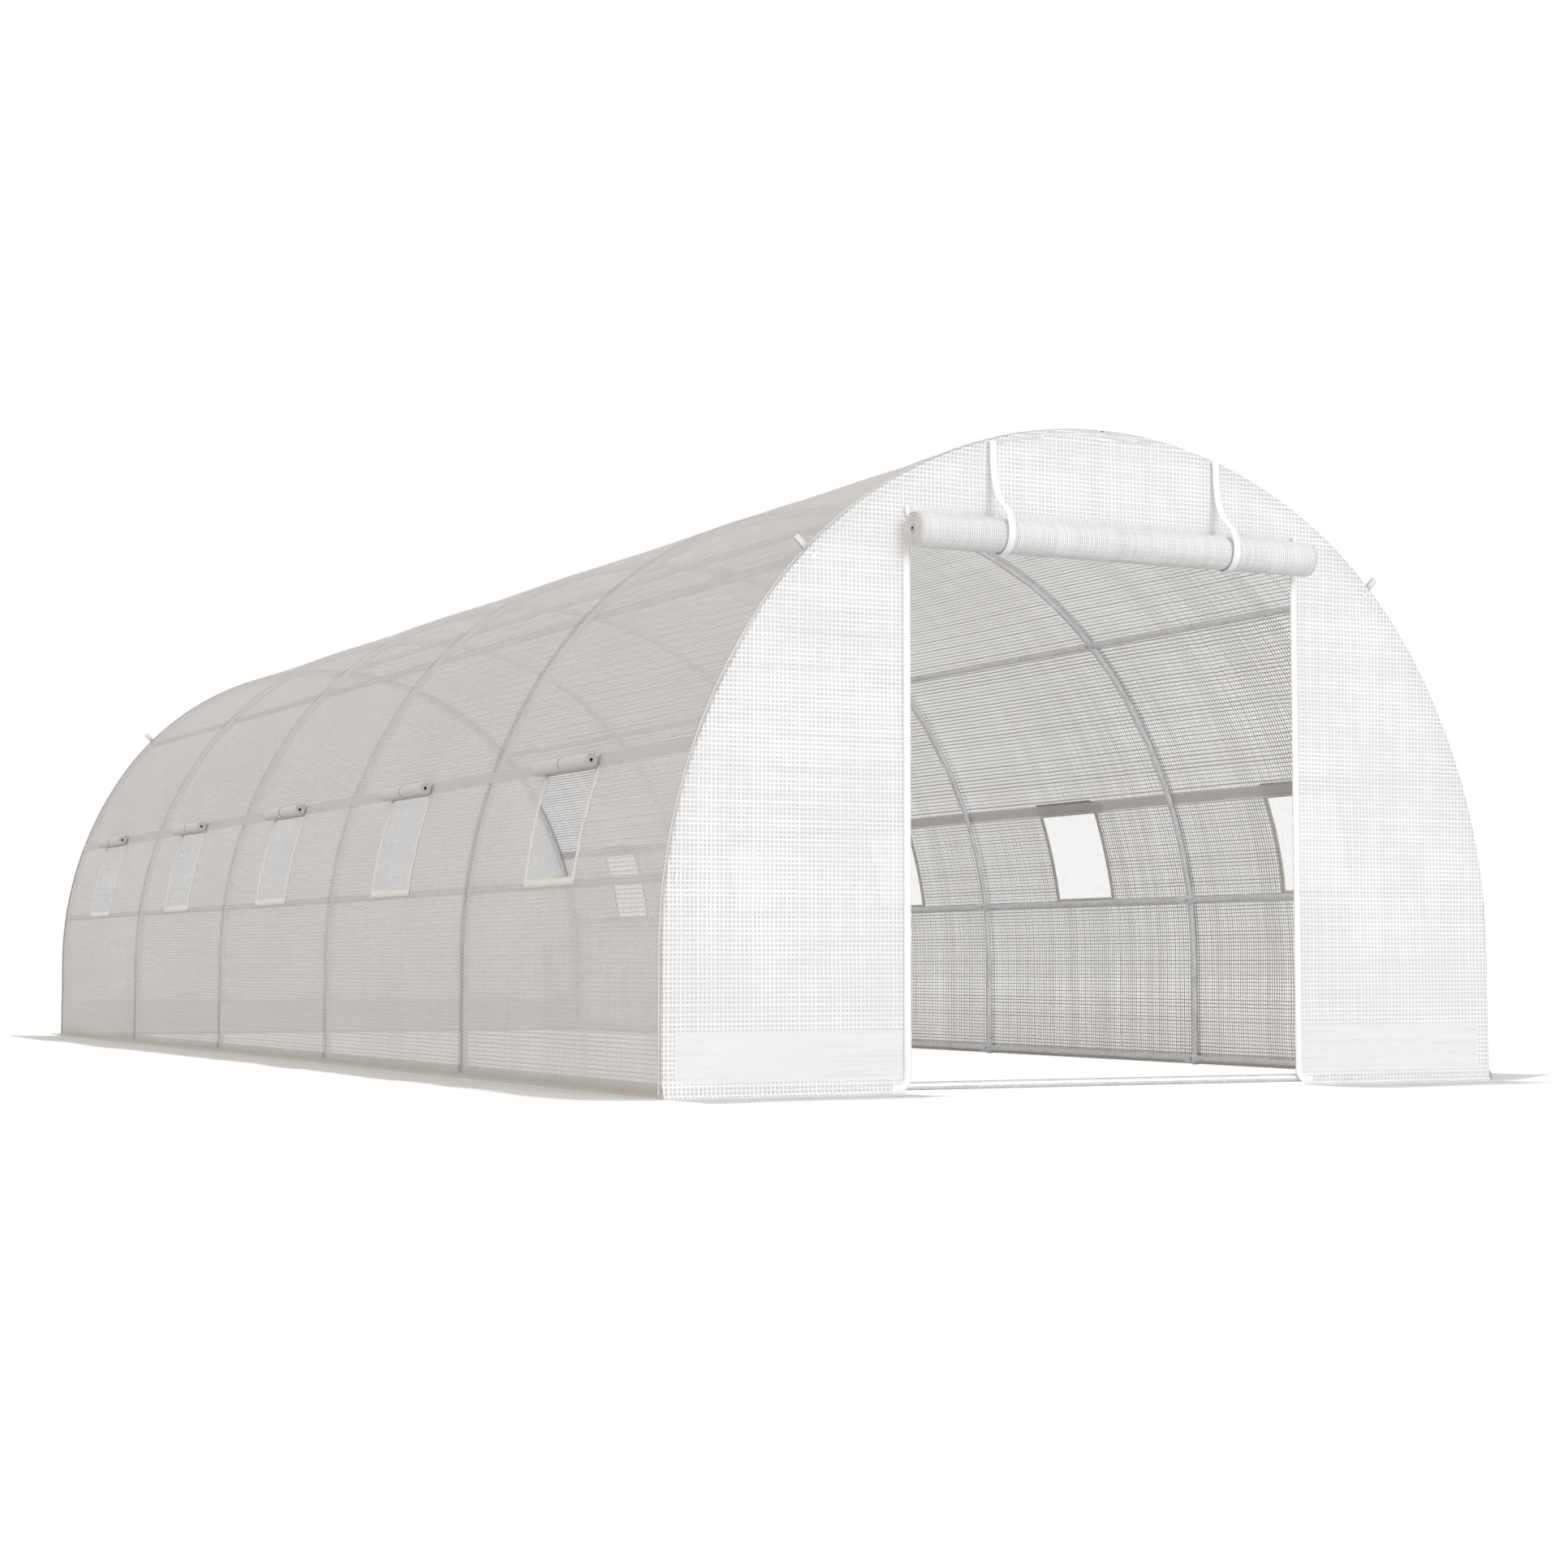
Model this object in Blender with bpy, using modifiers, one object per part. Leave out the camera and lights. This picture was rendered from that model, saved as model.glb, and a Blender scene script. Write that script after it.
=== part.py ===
"""Tunnel greenhouse: six tube hoops, seven rails, a sewn mesh-cloth cover with ten
roll-up windows, and a roll-up door between two zips.

Metres, +Z up. The origin is on the ground under the middle of the tunnel, whose
length runs along Y. The door is at the -Y end.
"""

import math

import bmesh
import bpy
from mathutils import Matrix, Vector

# Frame
TUBE_D = 0.025
HOOP_HALF_WIDTH = 1.485
HOOP_HEIGHT = 2.033
LEG_HEIGHT = 0.408
SIDE_RADIUS = 1.785
MID_BAY = 1.55
END_BAY = 1.66
BAYS_BETWEEN_ENDS = 3
FOOT_LENGTH = 0.010
MID_RAIL_BELOW_WINDOW = 0.016
UPPER_RAIL_HEIGHT = 1.602
PRESSED_WIDTH = 0.035
PRESSED_THICKNESS = 0.006
PRESSED_LENGTH = 0.050
PRESSED_TAPER = 0.040
JOINT_ABOVE_RAIL = 0.100
JOINT_LENGTH = 0.008
JOINT_DEPTH = 0.0012

# Cover
CLOTH = 0.0015
SEAM_HEIGHT = 1.014
SEAM_LAP = 0.040
HEM_CLEARANCE = 0.004

# Ground flap
SIDE_FLAP = 0.300
END_FLAP = 0.340
FLAP_HEM = 0.045
FLAP_BEND = 0.016
FLAP_WAVE = 0.007
FLAP_WAVE_LENGTH = 0.62

# Windows
WINDOW_PITCH = 1.5625
LEFT_WINDOWS_SHIFT = 0.061
WINDOWS_PER_SIDE = 5
WINDOW_WIDTH = 0.400
WINDOW_HEIGHT = 0.343
WINDOW_BELOW_SEAM = 0.001
WINDOW_ROLL_LENGTH = 0.475
WINDOW_ROLL_OFF_WINDOW = 0.027
WINDOW_ROLL_ABOVE_SEAM = -0.009
WINDOW_ROLL_RADIUS = 0.023
WINDOW_ROLL_CORE = 0.0040
WINDOW_ROLL_TURNS = 6
WINDOW_FLAP_CLOTH = 0.0011
WINDOW_ROLL_TAIL = 0.032
SCREEN_LAP = 0.014
SCREEN_CLOTH = 0.0010
SCREEN_STRAND = 0.005
SCREEN_COLUMNS = 4
SCREEN_ROWS = 4

# Door, its middle a little to the right of the ridge as seen from outside
DOOR_CENTRE = 0.011
DOOR_WIDTH = 1.400
DOOR_TOP = 1.700
DOOR_HEAD_LAP = 0.062
DOOR_SHEET_LAP = 0.026
DOOR_ROLL_LENGTH = 1.448
DOOR_ROLL_BELOW_TOP = 0.019
DOOR_ROLL_RADIUS = 0.057
DOOR_ROLL_CORE = 0.010
DOOR_ROLL_TURNS = 7.5
DOOR_CLOTH = 0.0018
ZIP_WIDTH = 0.025
ZIP_TAPE = 0.0015
SLIDER_LENGTH = 0.030
SLIDER_WIDTH = 0.013
SLIDER_HEIGHT = 0.008
SLIDER_FOOT_WIDTH = 0.008
SLIDER_SHOULDER = 0.0165
SLIDER_ABOVE_ROLL = 0.046
PULL_LENGTH = 0.022
PULL_WIDTH = 0.007
PULL_THICKNESS = 0.0016
PULL_HINGE_HEIGHT = 0.0225
DOORWAY_CUT_DEPTH = 0.060

# Ties and guy-rope loops
TIE_WIDTH = 0.026
TIE_CLOTH = 0.0015
TIE_OFFSET = 0.411
TIE_START_BELOW_ARCH = 0.013
TIE_CLEARS_ARCH = 0.042
TIE_CLEARING_SHARE = 0.72
TIE_HANG_SHARES = ((0.10, 0.62), (-0.62, 0.36), (-0.97, 0.12))
TIE_HANG_POINTS = 3
TIE_LOOP_STEPS = 12
TIE_LOOP_SWEEP = math.radians(168)
LOOP_WIDTH = 0.022
LOOP_LENGTH = 0.046
LOOP_GAP = 0.008
LOOP_CLOTH = 0.0014
LOOP_FROM_EDGE = 0.022

# Clearance between pieces that touch, and the fineness of round forms
GAP = 0.0003
LARGEST_TURN = 0.124
SEAT_SPARE = 0.002
TUBE_SIDES = 8
SILL_SIDES = 12
BEND_STEPS = 2
DOOR_POINTS_PER_TURN = 16
WINDOW_POINTS_PER_TURN = 8

# Sizes that follow from the driving ones
TUBE_R = TUBE_D / 2
FRAME_HALF_LENGTH = BAYS_BETWEEN_ENDS * MID_BAY / 2 + END_BAY
SIDE_CENTRE = SIDE_RADIUS - HOOP_HALF_WIDTH
TOP_RISE = HOOP_HEIGHT - LEG_HEIGHT
TOP_RADIUS = (SIDE_RADIUS**2 - SIDE_CENTRE**2 - TOP_RISE**2) / (2 * (SIDE_RADIUS - TOP_RISE))
TOP_CENTRE = HOOP_HEIGHT - TOP_RADIUS
TURN = math.atan2(TOP_CENTRE - LEG_HEIGHT, SIDE_CENTRE)
SEAT_HALF = PRESSED_WIDTH / 2 + SEAT_SPARE
WALL_MID = TUBE_R + GAP + CLOTH / 2
ROOF_MID = WALL_MID + CLOTH + GAP
RAIL_INSET = TUBE_R + GAP + PRESSED_THICKNESS / 2
BASE_RAIL_HEIGHT = FOOT_LENGTH + TUBE_R
PANEL_MID = FRAME_HALF_LENGTH + TUBE_R + GAP + CLOTH / 2
CLOTH_HALF_LENGTH = PANEL_MID - CLOTH / 2 - GAP
PANEL_FACE = PANEL_MID + CLOTH / 2
ZIP_FACE = PANEL_FACE + GAP + ZIP_TAPE
DOOR_ROLL_DEPTH = ZIP_FACE + GAP + DOOR_ROLL_RADIUS
DOOR_HALF = DOOR_WIDTH / 2
DOOR_SHEET_TOP = DOOR_TOP + DOOR_HEAD_LAP
DOOR_ROLL_HEIGHT = DOOR_TOP - DOOR_ROLL_BELOW_TOP
WINDOW_TOP = SEAM_HEIGHT - SEAM_LAP / 2 - WINDOW_BELOW_SEAM
WINDOW_BOTTOM = WINDOW_TOP - WINDOW_HEIGHT
WINDOW_ROLL_HEIGHT = SEAM_HEIGHT + WINDOW_ROLL_ABOVE_SEAM
MID_RAIL_HEIGHT = WINDOW_BOTTOM - MID_RAIL_BELOW_WINDOW


def clear_scene():
    for old in list(bpy.data.objects):
        bpy.data.objects.remove(old, do_unlink=True)


def new_collection(name):
    made = bpy.data.collections.new(name)
    bpy.context.scene.collection.children.link(made)
    return made


def material(name, colour, roughness, metallic=0.0):
    made = bpy.data.materials.new(name)
    made.use_nodes = True
    made.diffuse_color = (*colour, 1.0)
    shader = made.node_tree.nodes["Principled BSDF"]
    shader.inputs["Base Color"].default_value = (*colour, 1.0)
    shader.inputs["Roughness"].default_value = roughness
    shader.inputs["Metallic"].default_value = metallic
    return made


clear_scene()
GREENHOUSE = new_collection("tunnel_greenhouse")
CUTTERS = new_collection("cutters")
WINDOW_CUTTERS = new_collection("window_cutters")

GALVANISED = material("galvanised_steel", (0.60, 0.61, 0.62), 0.38, 1.0)
COVER_CLOTH = material("cover_mesh_cloth", (0.90, 0.90, 0.91), 0.55)
FLAP_CLOTH = material("ground_flap_cloth", (0.82, 0.81, 0.80), 0.60)
DOOR_CLOTH_LOOK = material("door_mesh_cloth", (0.88, 0.88, 0.89), 0.55)
WINDOW_CLOTH_LOOK = material("window_flap_cloth", (0.78, 0.77, 0.76), 0.58)
NET = material("window_net", (0.80, 0.82, 0.84), 0.70)
WEBBING = material("white_webbing", (0.93, 0.93, 0.93), 0.65)
ZIP_LOOK = material("white_zip_tape", (0.94, 0.94, 0.94), 0.60)
ZIP_METAL = material("zip_slider_white", (0.85, 0.85, 0.86), 0.35)


def place(name, data, look, collection=GREENHOUSE):
    """A new object of this data, in its collection and with its material."""
    made = bpy.data.objects.new(name, data)
    collection.objects.link(made)
    if not data.materials:
        data.materials.append(look)
    return made


def thicken(made, thickness):
    """Gives an open surface its cloth thickness, half to each side."""
    shell = made.modifiers.new("cloth", "SOLIDIFY")
    shell.thickness = thickness
    shell.offset = 0.0
    shell.use_even_offset = True
    return made


def smooth(data, angle=math.radians(40)):
    data.shade_smooth()
    data.set_sharp_from_angle(angle=angle)


def ribbon(name, profile, length, steps=1):
    """A surface whose edge is the (x, z) profile, drawn out along Y and centred on it."""
    sheet = bmesh.new()
    row = [sheet.verts.new((x, -length / 2, z)) for x, z in profile]
    edges = [sheet.edges.new(pair) for pair in zip(row, row[1:])]
    for _ in range(steps):
        grown = bmesh.ops.extrude_edge_only(sheet, edges=edges)["geom"]
        moved = [item for item in grown if isinstance(item, bmesh.types.BMVert)]
        bmesh.ops.translate(sheet, verts=moved, vec=(0, length / steps, 0))
        edges = [
            item
            for item in grown
            if isinstance(item, bmesh.types.BMEdge) and set(item.verts) <= set(moved)
        ]
    bmesh.ops.recalc_face_normals(sheet, faces=sheet.faces[:])
    data = bpy.data.meshes.new(name)
    sheet.to_mesh(data)
    sheet.free()
    return data


def box(name, low, high, collection):
    """A box cutter or a box-shaped piece between two corners."""
    low, high = Vector(low), Vector(high)
    block = bmesh.new()
    bmesh.ops.create_cube(block, size=1.0)
    middle = Matrix.Translation((low + high) / 2)
    block.transform(middle @ Matrix.Diagonal((*(high - low), 1.0)))
    data = bpy.data.meshes.new(name)
    block.to_mesh(data)
    block.free()
    made = bpy.data.objects.new(name, data)
    collection.objects.link(made)
    return made


def as_cutter(made):
    made.hide_render = True
    made.display_type = "WIRE"
    return made


def cut(made, operand):
    """Cuts one object, or every object of a collection, out of a piece."""
    saw = made.modifiers.new("cut", "BOOLEAN")
    saw.operation = "DIFFERENCE"
    saw.solver = "EXACT"
    if isinstance(operand, bpy.types.Collection):
        saw.operand_type = "COLLECTION"
        saw.collection = operand
    else:
        saw.object = operand


def hoop_positions():
    """Where the six hoops stand along Y, from the door end."""
    inner = [(i - BAYS_BETWEEN_ENDS / 2) * MID_BAY for i in range(BAYS_BETWEEN_ENDS + 1)]
    return [-FRAME_HALF_LENGTH, *inner, FRAME_HALF_LENGTH]


def window_positions(side):
    """The middles of one side's windows along Y. The left side's lie a little further back."""
    shift = LEFT_WINDOWS_SHIFT if side == "left" else 0.0
    middle = (WINDOWS_PER_SIDE - 1) / 2
    return [(i - middle) * WINDOW_PITCH + shift for i in range(WINDOWS_PER_SIDE)]


def arch_turn(height):
    """How far a hoop's +X side has turned from upright where it reaches a height."""
    side = (height - LEG_HEIGHT) / SIDE_RADIUS
    if side < math.sin(TURN):
        return math.asin(side)
    return math.asin((height - TOP_CENTRE) / TOP_RADIUS)


def bend(turn):
    """(radius, x, z) of the bend that a turn of the +X side lies on, and of its centre."""
    if turn < TURN:
        return SIDE_RADIUS, -SIDE_CENTRE, LEG_HEIGHT
    return TOP_RADIUS, 0.0, TOP_CENTRE


def arch_point(turn, offset):
    """(x, z) on the +X side of the arch, moved outwards from the hoop's centre line."""
    radius, x, z = bend(turn)
    reach = radius + offset
    return x + reach * math.cos(turn), z + reach * math.sin(turn)


def seat(turn, half):
    """The turns at the two ends of a short straight run of the arch."""
    part = half / bend(turn)[0]
    return turn - part, turn + part


def arch_turns():
    """The turns of the arch's corners, which all that follows the arch shares.

    The arch runs straight under each rail and under the seam's lap.
    """
    seam = seat(arch_turn(SEAM_HEIGHT), SEAM_LAP / 2)
    mid = seat(arch_turn(MID_RAIL_HEIGHT), SEAT_HALF)
    upper = seat(arch_turn(UPPER_RAIL_HEIGHT), SEAT_HALF)
    ridge = math.pi / 2 - SEAT_HALF / TOP_RADIUS
    marks = sorted([0.0, *mid, *seam, TURN, *upper, ridge])
    turns = [0.0]
    for low, high in zip(marks, marks[1:]):
        steps = max(1, math.ceil((high - low) / LARGEST_TURN))
        turns += spread(low, high, steps)[1:]
    return turns


def spread(start, end, steps):
    return [start + (end - start) * i / steps for i in range(steps + 1)]


def chord_point(turn, offset):
    """(x, z) at a turn on the straight run between two corners of the arch."""
    turns = arch_turns()
    low = max(corner for corner in turns[:-1] if corner <= turn)
    high = turns[turns.index(low) + 1]
    start, end = arch_point(low, offset), arch_point(high, offset)
    share = (turn - low) / (high - low)
    return tuple(a + share * (b - a) for a, b in zip(start, end))


def half_arch(offset, low=0.0, high=math.pi / 2):
    """(x, z) of the arch's corners up the +X side, between two turns."""
    close = SEAT_SPARE / SIDE_RADIUS / 2
    return [arch_point(t, offset) for t in arch_turns() if low - close < t < high + close]


def mirrored(points):
    """The points of a half, from its -X foot over the ridge to its +X foot."""
    return [(-x, z) for x, z in points] + points[::-1]


def smooth_path(points, per_span):
    """A smooth curve through (x, z) points, Catmull-Rom, evenly divided in each span."""
    padded = [points[0], *points, points[-1]]
    path = []
    for before, start, end, after in zip(padded, padded[1:], padded[2:], padded[3:]):
        for i in range(per_span):
            t = i / per_span
            path.append(
                tuple(
                    0.5
                    * (
                        2 * b
                        + (c - a) * t
                        + (2 * a - 5 * b + 4 * c - d) * t**2
                        + (3 * b - a - 3 * c + d) * t**3
                    )
                    for a, b, c, d in zip(before, start, end, after)
                )
            )
    return [*path, points[-1]]


def hoop_path():
    """(x, z, radius factor) up the +X half of a hoop, with its plugged joint necked."""
    joint = arch_turn(UPPER_RAIL_HEIGHT) + JOINT_ABOVE_RAIL / TOP_RADIUS
    half = JOINT_LENGTH / 2 / TOP_RADIUS
    shoulder = half + JOINT_DEPTH / TOP_RADIUS
    neck = 1 - JOINT_DEPTH / TUBE_R
    path = [(turn, 1.0) for turn in arch_turns() if abs(turn - joint) > 2 * shoulder]
    path += [(joint - shoulder, 1.0), (joint - half, neck)]
    path += [(joint + half, neck), (joint + shoulder, 1.0)]
    path.sort()
    ends = [path[0][0], path[-1][0]]
    bends = [
        (*(arch_point(turn, 0.0) if turn in ends else chord_point(turn, 0.0)), factor)
        for turn, factor in path
    ]
    return [(HOOP_HALF_WIDTH, 0.0, 1.0), *bends]


def hoop_mesh():
    """One hoop as a tube along its centre line, made a welded mesh."""
    half = hoop_path()
    path = [(-x, z, factor) for x, z, factor in half] + half[::-1]
    data = bpy.data.curves.new("hoop_line", "CURVE")
    data.dimensions = "3D"
    data.bevel_depth = TUBE_R
    data.bevel_resolution = (TUBE_SIDES - 4) // 2
    data.use_fill_caps = True
    line = data.splines.new("POLY")
    line.points.add(len(path) - 1)
    for point, (x, z, factor) in zip(line.points, path):
        point.co = (x, 0.0, z, 1.0)
        point.radius = factor
    return welded(data, "hoop")


def baked(shape, name, modify=None):
    """The mesh of a curve or mesh as an object shows it, with the object's modifiers."""
    holder = bpy.data.objects.new(name + "_holder", shape)
    CUTTERS.objects.link(holder)
    if modify:
        modify(holder)
    bpy.context.view_layer.update()
    graph = bpy.context.evaluated_depsgraph_get()
    data = bpy.data.meshes.new_from_object(holder.evaluated_get(graph))
    bpy.data.objects.remove(holder, do_unlink=True)
    data.name = name
    return data


def welded(curve, name):
    """The mesh of a curve, with its caps joined on."""
    data = baked(curve, name)
    work = bmesh.new()
    work.from_mesh(data)
    bmesh.ops.remove_doubles(work, verts=work.verts[:], dist=0.00001)
    work.to_mesh(data)
    work.free()
    smooth(data)
    return data


def build_hoops():
    data = hoop_mesh()
    for number, y in enumerate(hoop_positions(), 1):
        hoop = place(f"hoop_{number}", data, GALVANISED)
        hoop.location = (0, y, 0)


def rail_stations():
    """(y, half width, half thickness) along a rail: pressed flat at each hoop, round between."""
    flat = PRESSED_WIDTH / 2, PRESSED_THICKNESS / 2
    stations = []
    for y in hoop_positions():
        near = PRESSED_LENGTH / 2
        far = near + PRESSED_TAPER
        stations += [(y - far, TUBE_R, TUBE_R), (y - near, *flat)]
        stations += [(y + near, *flat), (y + far, TUBE_R, TUBE_R)]
    end = FRAME_HALF_LENGTH + TUBE_R
    first, last = (-end, *flat), (end, *flat)
    return [first, *stations[2:-2], last]


def rail_mesh():
    """A rail along Y, lofted between its stations. Its flats face up and down."""
    loft = bmesh.new()
    rings = []
    for y, width, thickness in rail_stations():
        turns = [math.tau * (i + 0.5) / TUBE_SIDES for i in range(TUBE_SIDES)]
        grow = 1 / math.cos(math.pi / TUBE_SIDES) if thickness < TUBE_R else 1.0
        points = [(math.cos(t) * width, y, math.sin(t) * thickness * grow) for t in turns]
        rings.append([loft.verts.new(point) for point in points])
    for low, high in zip(rings, rings[1:]):
        for i in range(TUBE_SIDES):
            j = (i + 1) % TUBE_SIDES
            loft.faces.new((low[i], low[j], high[j], high[i]))
    loft.faces.new(rings[0])
    loft.faces.new(rings[-1])
    bmesh.ops.recalc_face_normals(loft, faces=loft.faces[:])
    data = bpy.data.meshes.new("rail")
    loft.to_mesh(data)
    loft.free()
    smooth(data)
    return data


def build_rails():
    """Seven rails, seated on the inner side of the hoops."""
    data = rail_mesh()
    mid = arch_turn(MID_RAIL_HEIGHT)
    upper = arch_turn(UPPER_RAIL_HEIGHT)
    rows = {
        "base_rail": ((HOOP_HALF_WIDTH - RAIL_INSET, BASE_RAIL_HEIGHT), 0.0),
        "mid_rail": (chord_point(mid, -RAIL_INSET), mid),
        "upper_rail": (chord_point(upper, -RAIL_INSET), upper),
    }
    for name, ((x, z), turn) in rows.items():
        for side, sign in (("left", -1), ("right", 1)):
            rail = place(f"{name}_{side}", data, GALVANISED)
            rail.location = (sign * x, 0, z)
            rail.rotation_euler = (0, sign * (math.pi / 2 - turn), 0)
    ridge = place("ridge_rail", data, GALVANISED)
    ridge.location = (0, 0, half_arch(-RAIL_INSET)[-1][1])


def build_sills():
    """The two ground tubes across the ends, butted between the base rails."""
    half = HOOP_HALF_WIDTH - RAIL_INSET - PRESSED_THICKNESS / 2 - GAP
    tube = bmesh.new()
    bmesh.ops.create_cone(
        tube,
        cap_ends=True,
        segments=SILL_SIDES,
        radius1=TUBE_R,
        radius2=TUBE_R,
        depth=2 * half,
        matrix=Matrix.Rotation(math.pi / 2, 4, "Y"),
    )
    data = bpy.data.meshes.new("sill")
    tube.to_mesh(data)
    tube.free()
    smooth(data)
    for name, sign in (("front_sill", -1), ("back_sill", 1)):
        sill = place(name, data, GALVANISED)
        sill.location = (0, sign * FRAME_HALF_LENGTH, BASE_RAIL_HEIGHT)


def build_roof():
    """The roof cloth, lapped over the outside of both walls at the seam."""
    low = seat(arch_turn(SEAM_HEIGHT), SEAM_LAP / 2)[0]
    data = ribbon("cover_roof", mirrored(half_arch(ROOF_MID, low)), 2 * CLOTH_HALF_LENGTH)
    smooth(data)
    thicken(place("cover_roof", data, COVER_CLOTH), CLOTH)


def build_walls():
    """Both side walls, with five window openings cut through each."""
    high = seat(arch_turn(SEAM_HEIGHT), SEAM_LAP / 2)[1]
    side = half_arch(WALL_MID, high=high)
    profile = [(HOOP_HALF_WIDTH + WALL_MID, HEM_CLEARANCE), *side]
    reach = HOOP_HALF_WIDTH + SIDE_FLAP
    for side, inner, outer in (("left", -reach, 0.0), ("right", 0.0, reach)):
        for number, y in enumerate(window_positions(side), 1):
            low = (inner, y - WINDOW_WIDTH / 2, WINDOW_BOTTOM)
            high_corner = (outer, y + WINDOW_WIDTH / 2, WINDOW_TOP)
            as_cutter(box(f"window_cutter_{side}_{number}", low, high_corner, WINDOW_CUTTERS))
    data = ribbon("cover_wall", profile, 2 * CLOTH_HALF_LENGTH)
    smooth(data)
    for name, turn in (("cover_wall_left", math.pi), ("cover_wall_right", 0.0)):
        wall = thicken(place(name, data, COVER_CLOTH), CLOTH)
        wall.rotation_euler = (0, 0, turn)
        cut(wall, WINDOW_CUTTERS)


def panel_outline():
    edge = ROOF_MID + CLOTH / 2
    foot = (HOOP_HALF_WIDTH + edge, HEM_CLEARANCE)
    return mirrored([foot, *half_arch(edge)])


def build_end_panels():
    """The front panel with its doorway, and the plain back panel."""
    flat = bmesh.new()
    flat.faces.new([flat.verts.new((x, 0, z)) for x, z in panel_outline()])
    data = bpy.data.meshes.new("end_panel")
    flat.to_mesh(data)
    flat.free()
    front = thicken(place("cover_front_panel", data, COVER_CLOTH), CLOTH)
    front.location = (0, -PANEL_MID, 0)
    deep = DOORWAY_CUT_DEPTH / 2
    low = (DOOR_CENTRE - DOOR_HALF, -PANEL_MID - deep, -deep)
    high = (DOOR_CENTRE + DOOR_HALF, -PANEL_MID + deep, DOOR_TOP)
    cut(front, as_cutter(box("doorway_cutter", low, high, CUTTERS)))
    back = thicken(place("cover_back_panel", data, COVER_CLOTH), CLOTH)
    back.location = (0, PANEL_MID, 0)


def flap_profile(width):
    """(x, z) of a ground flap: hem up the wall, bend, then out over the ground."""
    floor = CLOTH / 2
    bend = [
        (FLAP_BEND * (1 - math.cos(turn)), floor + FLAP_BEND * (1 - math.sin(turn)))
        for turn in spread(0.0, math.pi / 2, BEND_STEPS)
    ]
    flat = [(x, floor) for x in spread(FLAP_BEND, width, 2)[1:]]
    return [(0.0, FLAP_HEM), *bend, *flat]


def flap_mesh(name, width, length):
    """A flap with its outer part lying in low waves, and its cloth on the ground between."""
    waves = max(2, 2 * round(length / FLAP_WAVE_LENGTH))
    data = ribbon(name, flap_profile(width), length, 2 * waves)
    for vertex in data.vertices:
        out = (vertex.co.x - FLAP_BEND) / (width - FLAP_BEND)
        if out > 0:
            phase = math.tau * (vertex.co.y / length + 0.5) * waves / 2
            vertex.co.z += FLAP_WAVE * out * (1 - math.cos(phase)) / 2
    smooth(data)
    return data


def build_flaps():
    """Five ground flaps, their hems on the outside of the cover."""
    wall_x = HOOP_HALF_WIDTH + WALL_MID + CLOTH + GAP
    side = flap_mesh("side_flap", SIDE_FLAP, 2 * CLOTH_HALF_LENGTH)
    panel_y = PANEL_MID + CLOTH + GAP
    panel_half = HOOP_HALF_WIDTH + WALL_MID
    jamb = DOOR_HALF + ZIP_WIDTH + GAP
    left, right = jamb - DOOR_CENTRE, jamb + DOOR_CENTRE
    front_left = flap_mesh("front_flap_left", END_FLAP, panel_half - left)
    front_right = flap_mesh("front_flap_right", END_FLAP, panel_half - right)
    back = flap_mesh("back_flap", END_FLAP, 2 * panel_half)
    rows = (
        ("ground_flap_left", side, (-wall_x, 0), math.pi),
        ("ground_flap_right", side, (wall_x, 0), 0.0),
        ("ground_flap_front_left", front_left, (-(panel_half + left) / 2, -panel_y), -math.pi / 2),
        ("ground_flap_front_right", front_right, ((panel_half + right) / 2, -panel_y), -math.pi / 2),
        ("ground_flap_back", back, (0, panel_y), math.pi / 2),
    )
    for name, data, (x, y), turn in rows:
        flap = thicken(place(name, data, FLAP_CLOTH), CLOTH)
        flap.location = (x, y, 0)
        flap.rotation_euler = (0, 0, turn)


def scroll(core, radius, turns, per_turn, thickness):
    """(out, up) points of a rolled sheet seen from its end, from its core to its outer edge.

    The outer edge is on the side towards out = 0, and the sheet runs down from there,
    under the roll and up its far side. The points are the middle of the cloth.
    """
    outer = radius - thickness / 2
    count = round(turns * per_turn)
    points = []
    for i in range(count + 1):
        left = (count - i) / per_turn
        reach = outer - (outer - core) * left / turns
        angle = math.pi + math.tau * left
        points.append((radius + reach * math.cos(angle), reach * math.sin(angle)))
    return points


def least_gap(points, per_turn, thickness):
    """The smallest free space between one turn of a roll and the next, on its points."""
    skip = per_turn // 2
    pairs = (
        math.dist(points[i], points[j])
        for i in range(len(points))
        for j in range(i + skip, len(points))
    )
    return min(pairs) - thickness


def window_roll_mesh(wall_radius):
    """A rolled window flap along Y, on the -X side of the axis of the wall's curve."""
    points = scroll(
        WINDOW_ROLL_CORE,
        WINDOW_ROLL_RADIUS,
        WINDOW_ROLL_TURNS,
        WINDOW_POINTS_PER_TURN,
        WINDOW_FLAP_CLOTH,
    )
    gap = least_gap(points, WINDOW_POINTS_PER_TURN, WINDOW_FLAP_CLOTH)
    print(f"window roll: least gap {gap * 1000:.2f} mm")
    start = wall_radius + ROOF_MID + CLOTH / 2 + GAP
    profile = [(-start - out, up) for out, up in points]
    tail = start + WINDOW_FLAP_CLOTH / 2
    for share in (0.5, 1.0):
        turn = share * WINDOW_ROLL_TAIL / tail
        profile.append((-tail * math.cos(turn), tail * math.sin(turn)))
    data = ribbon("window_roll", profile, WINDOW_ROLL_LENGTH)
    smooth(data, math.radians(60))
    return data


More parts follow.
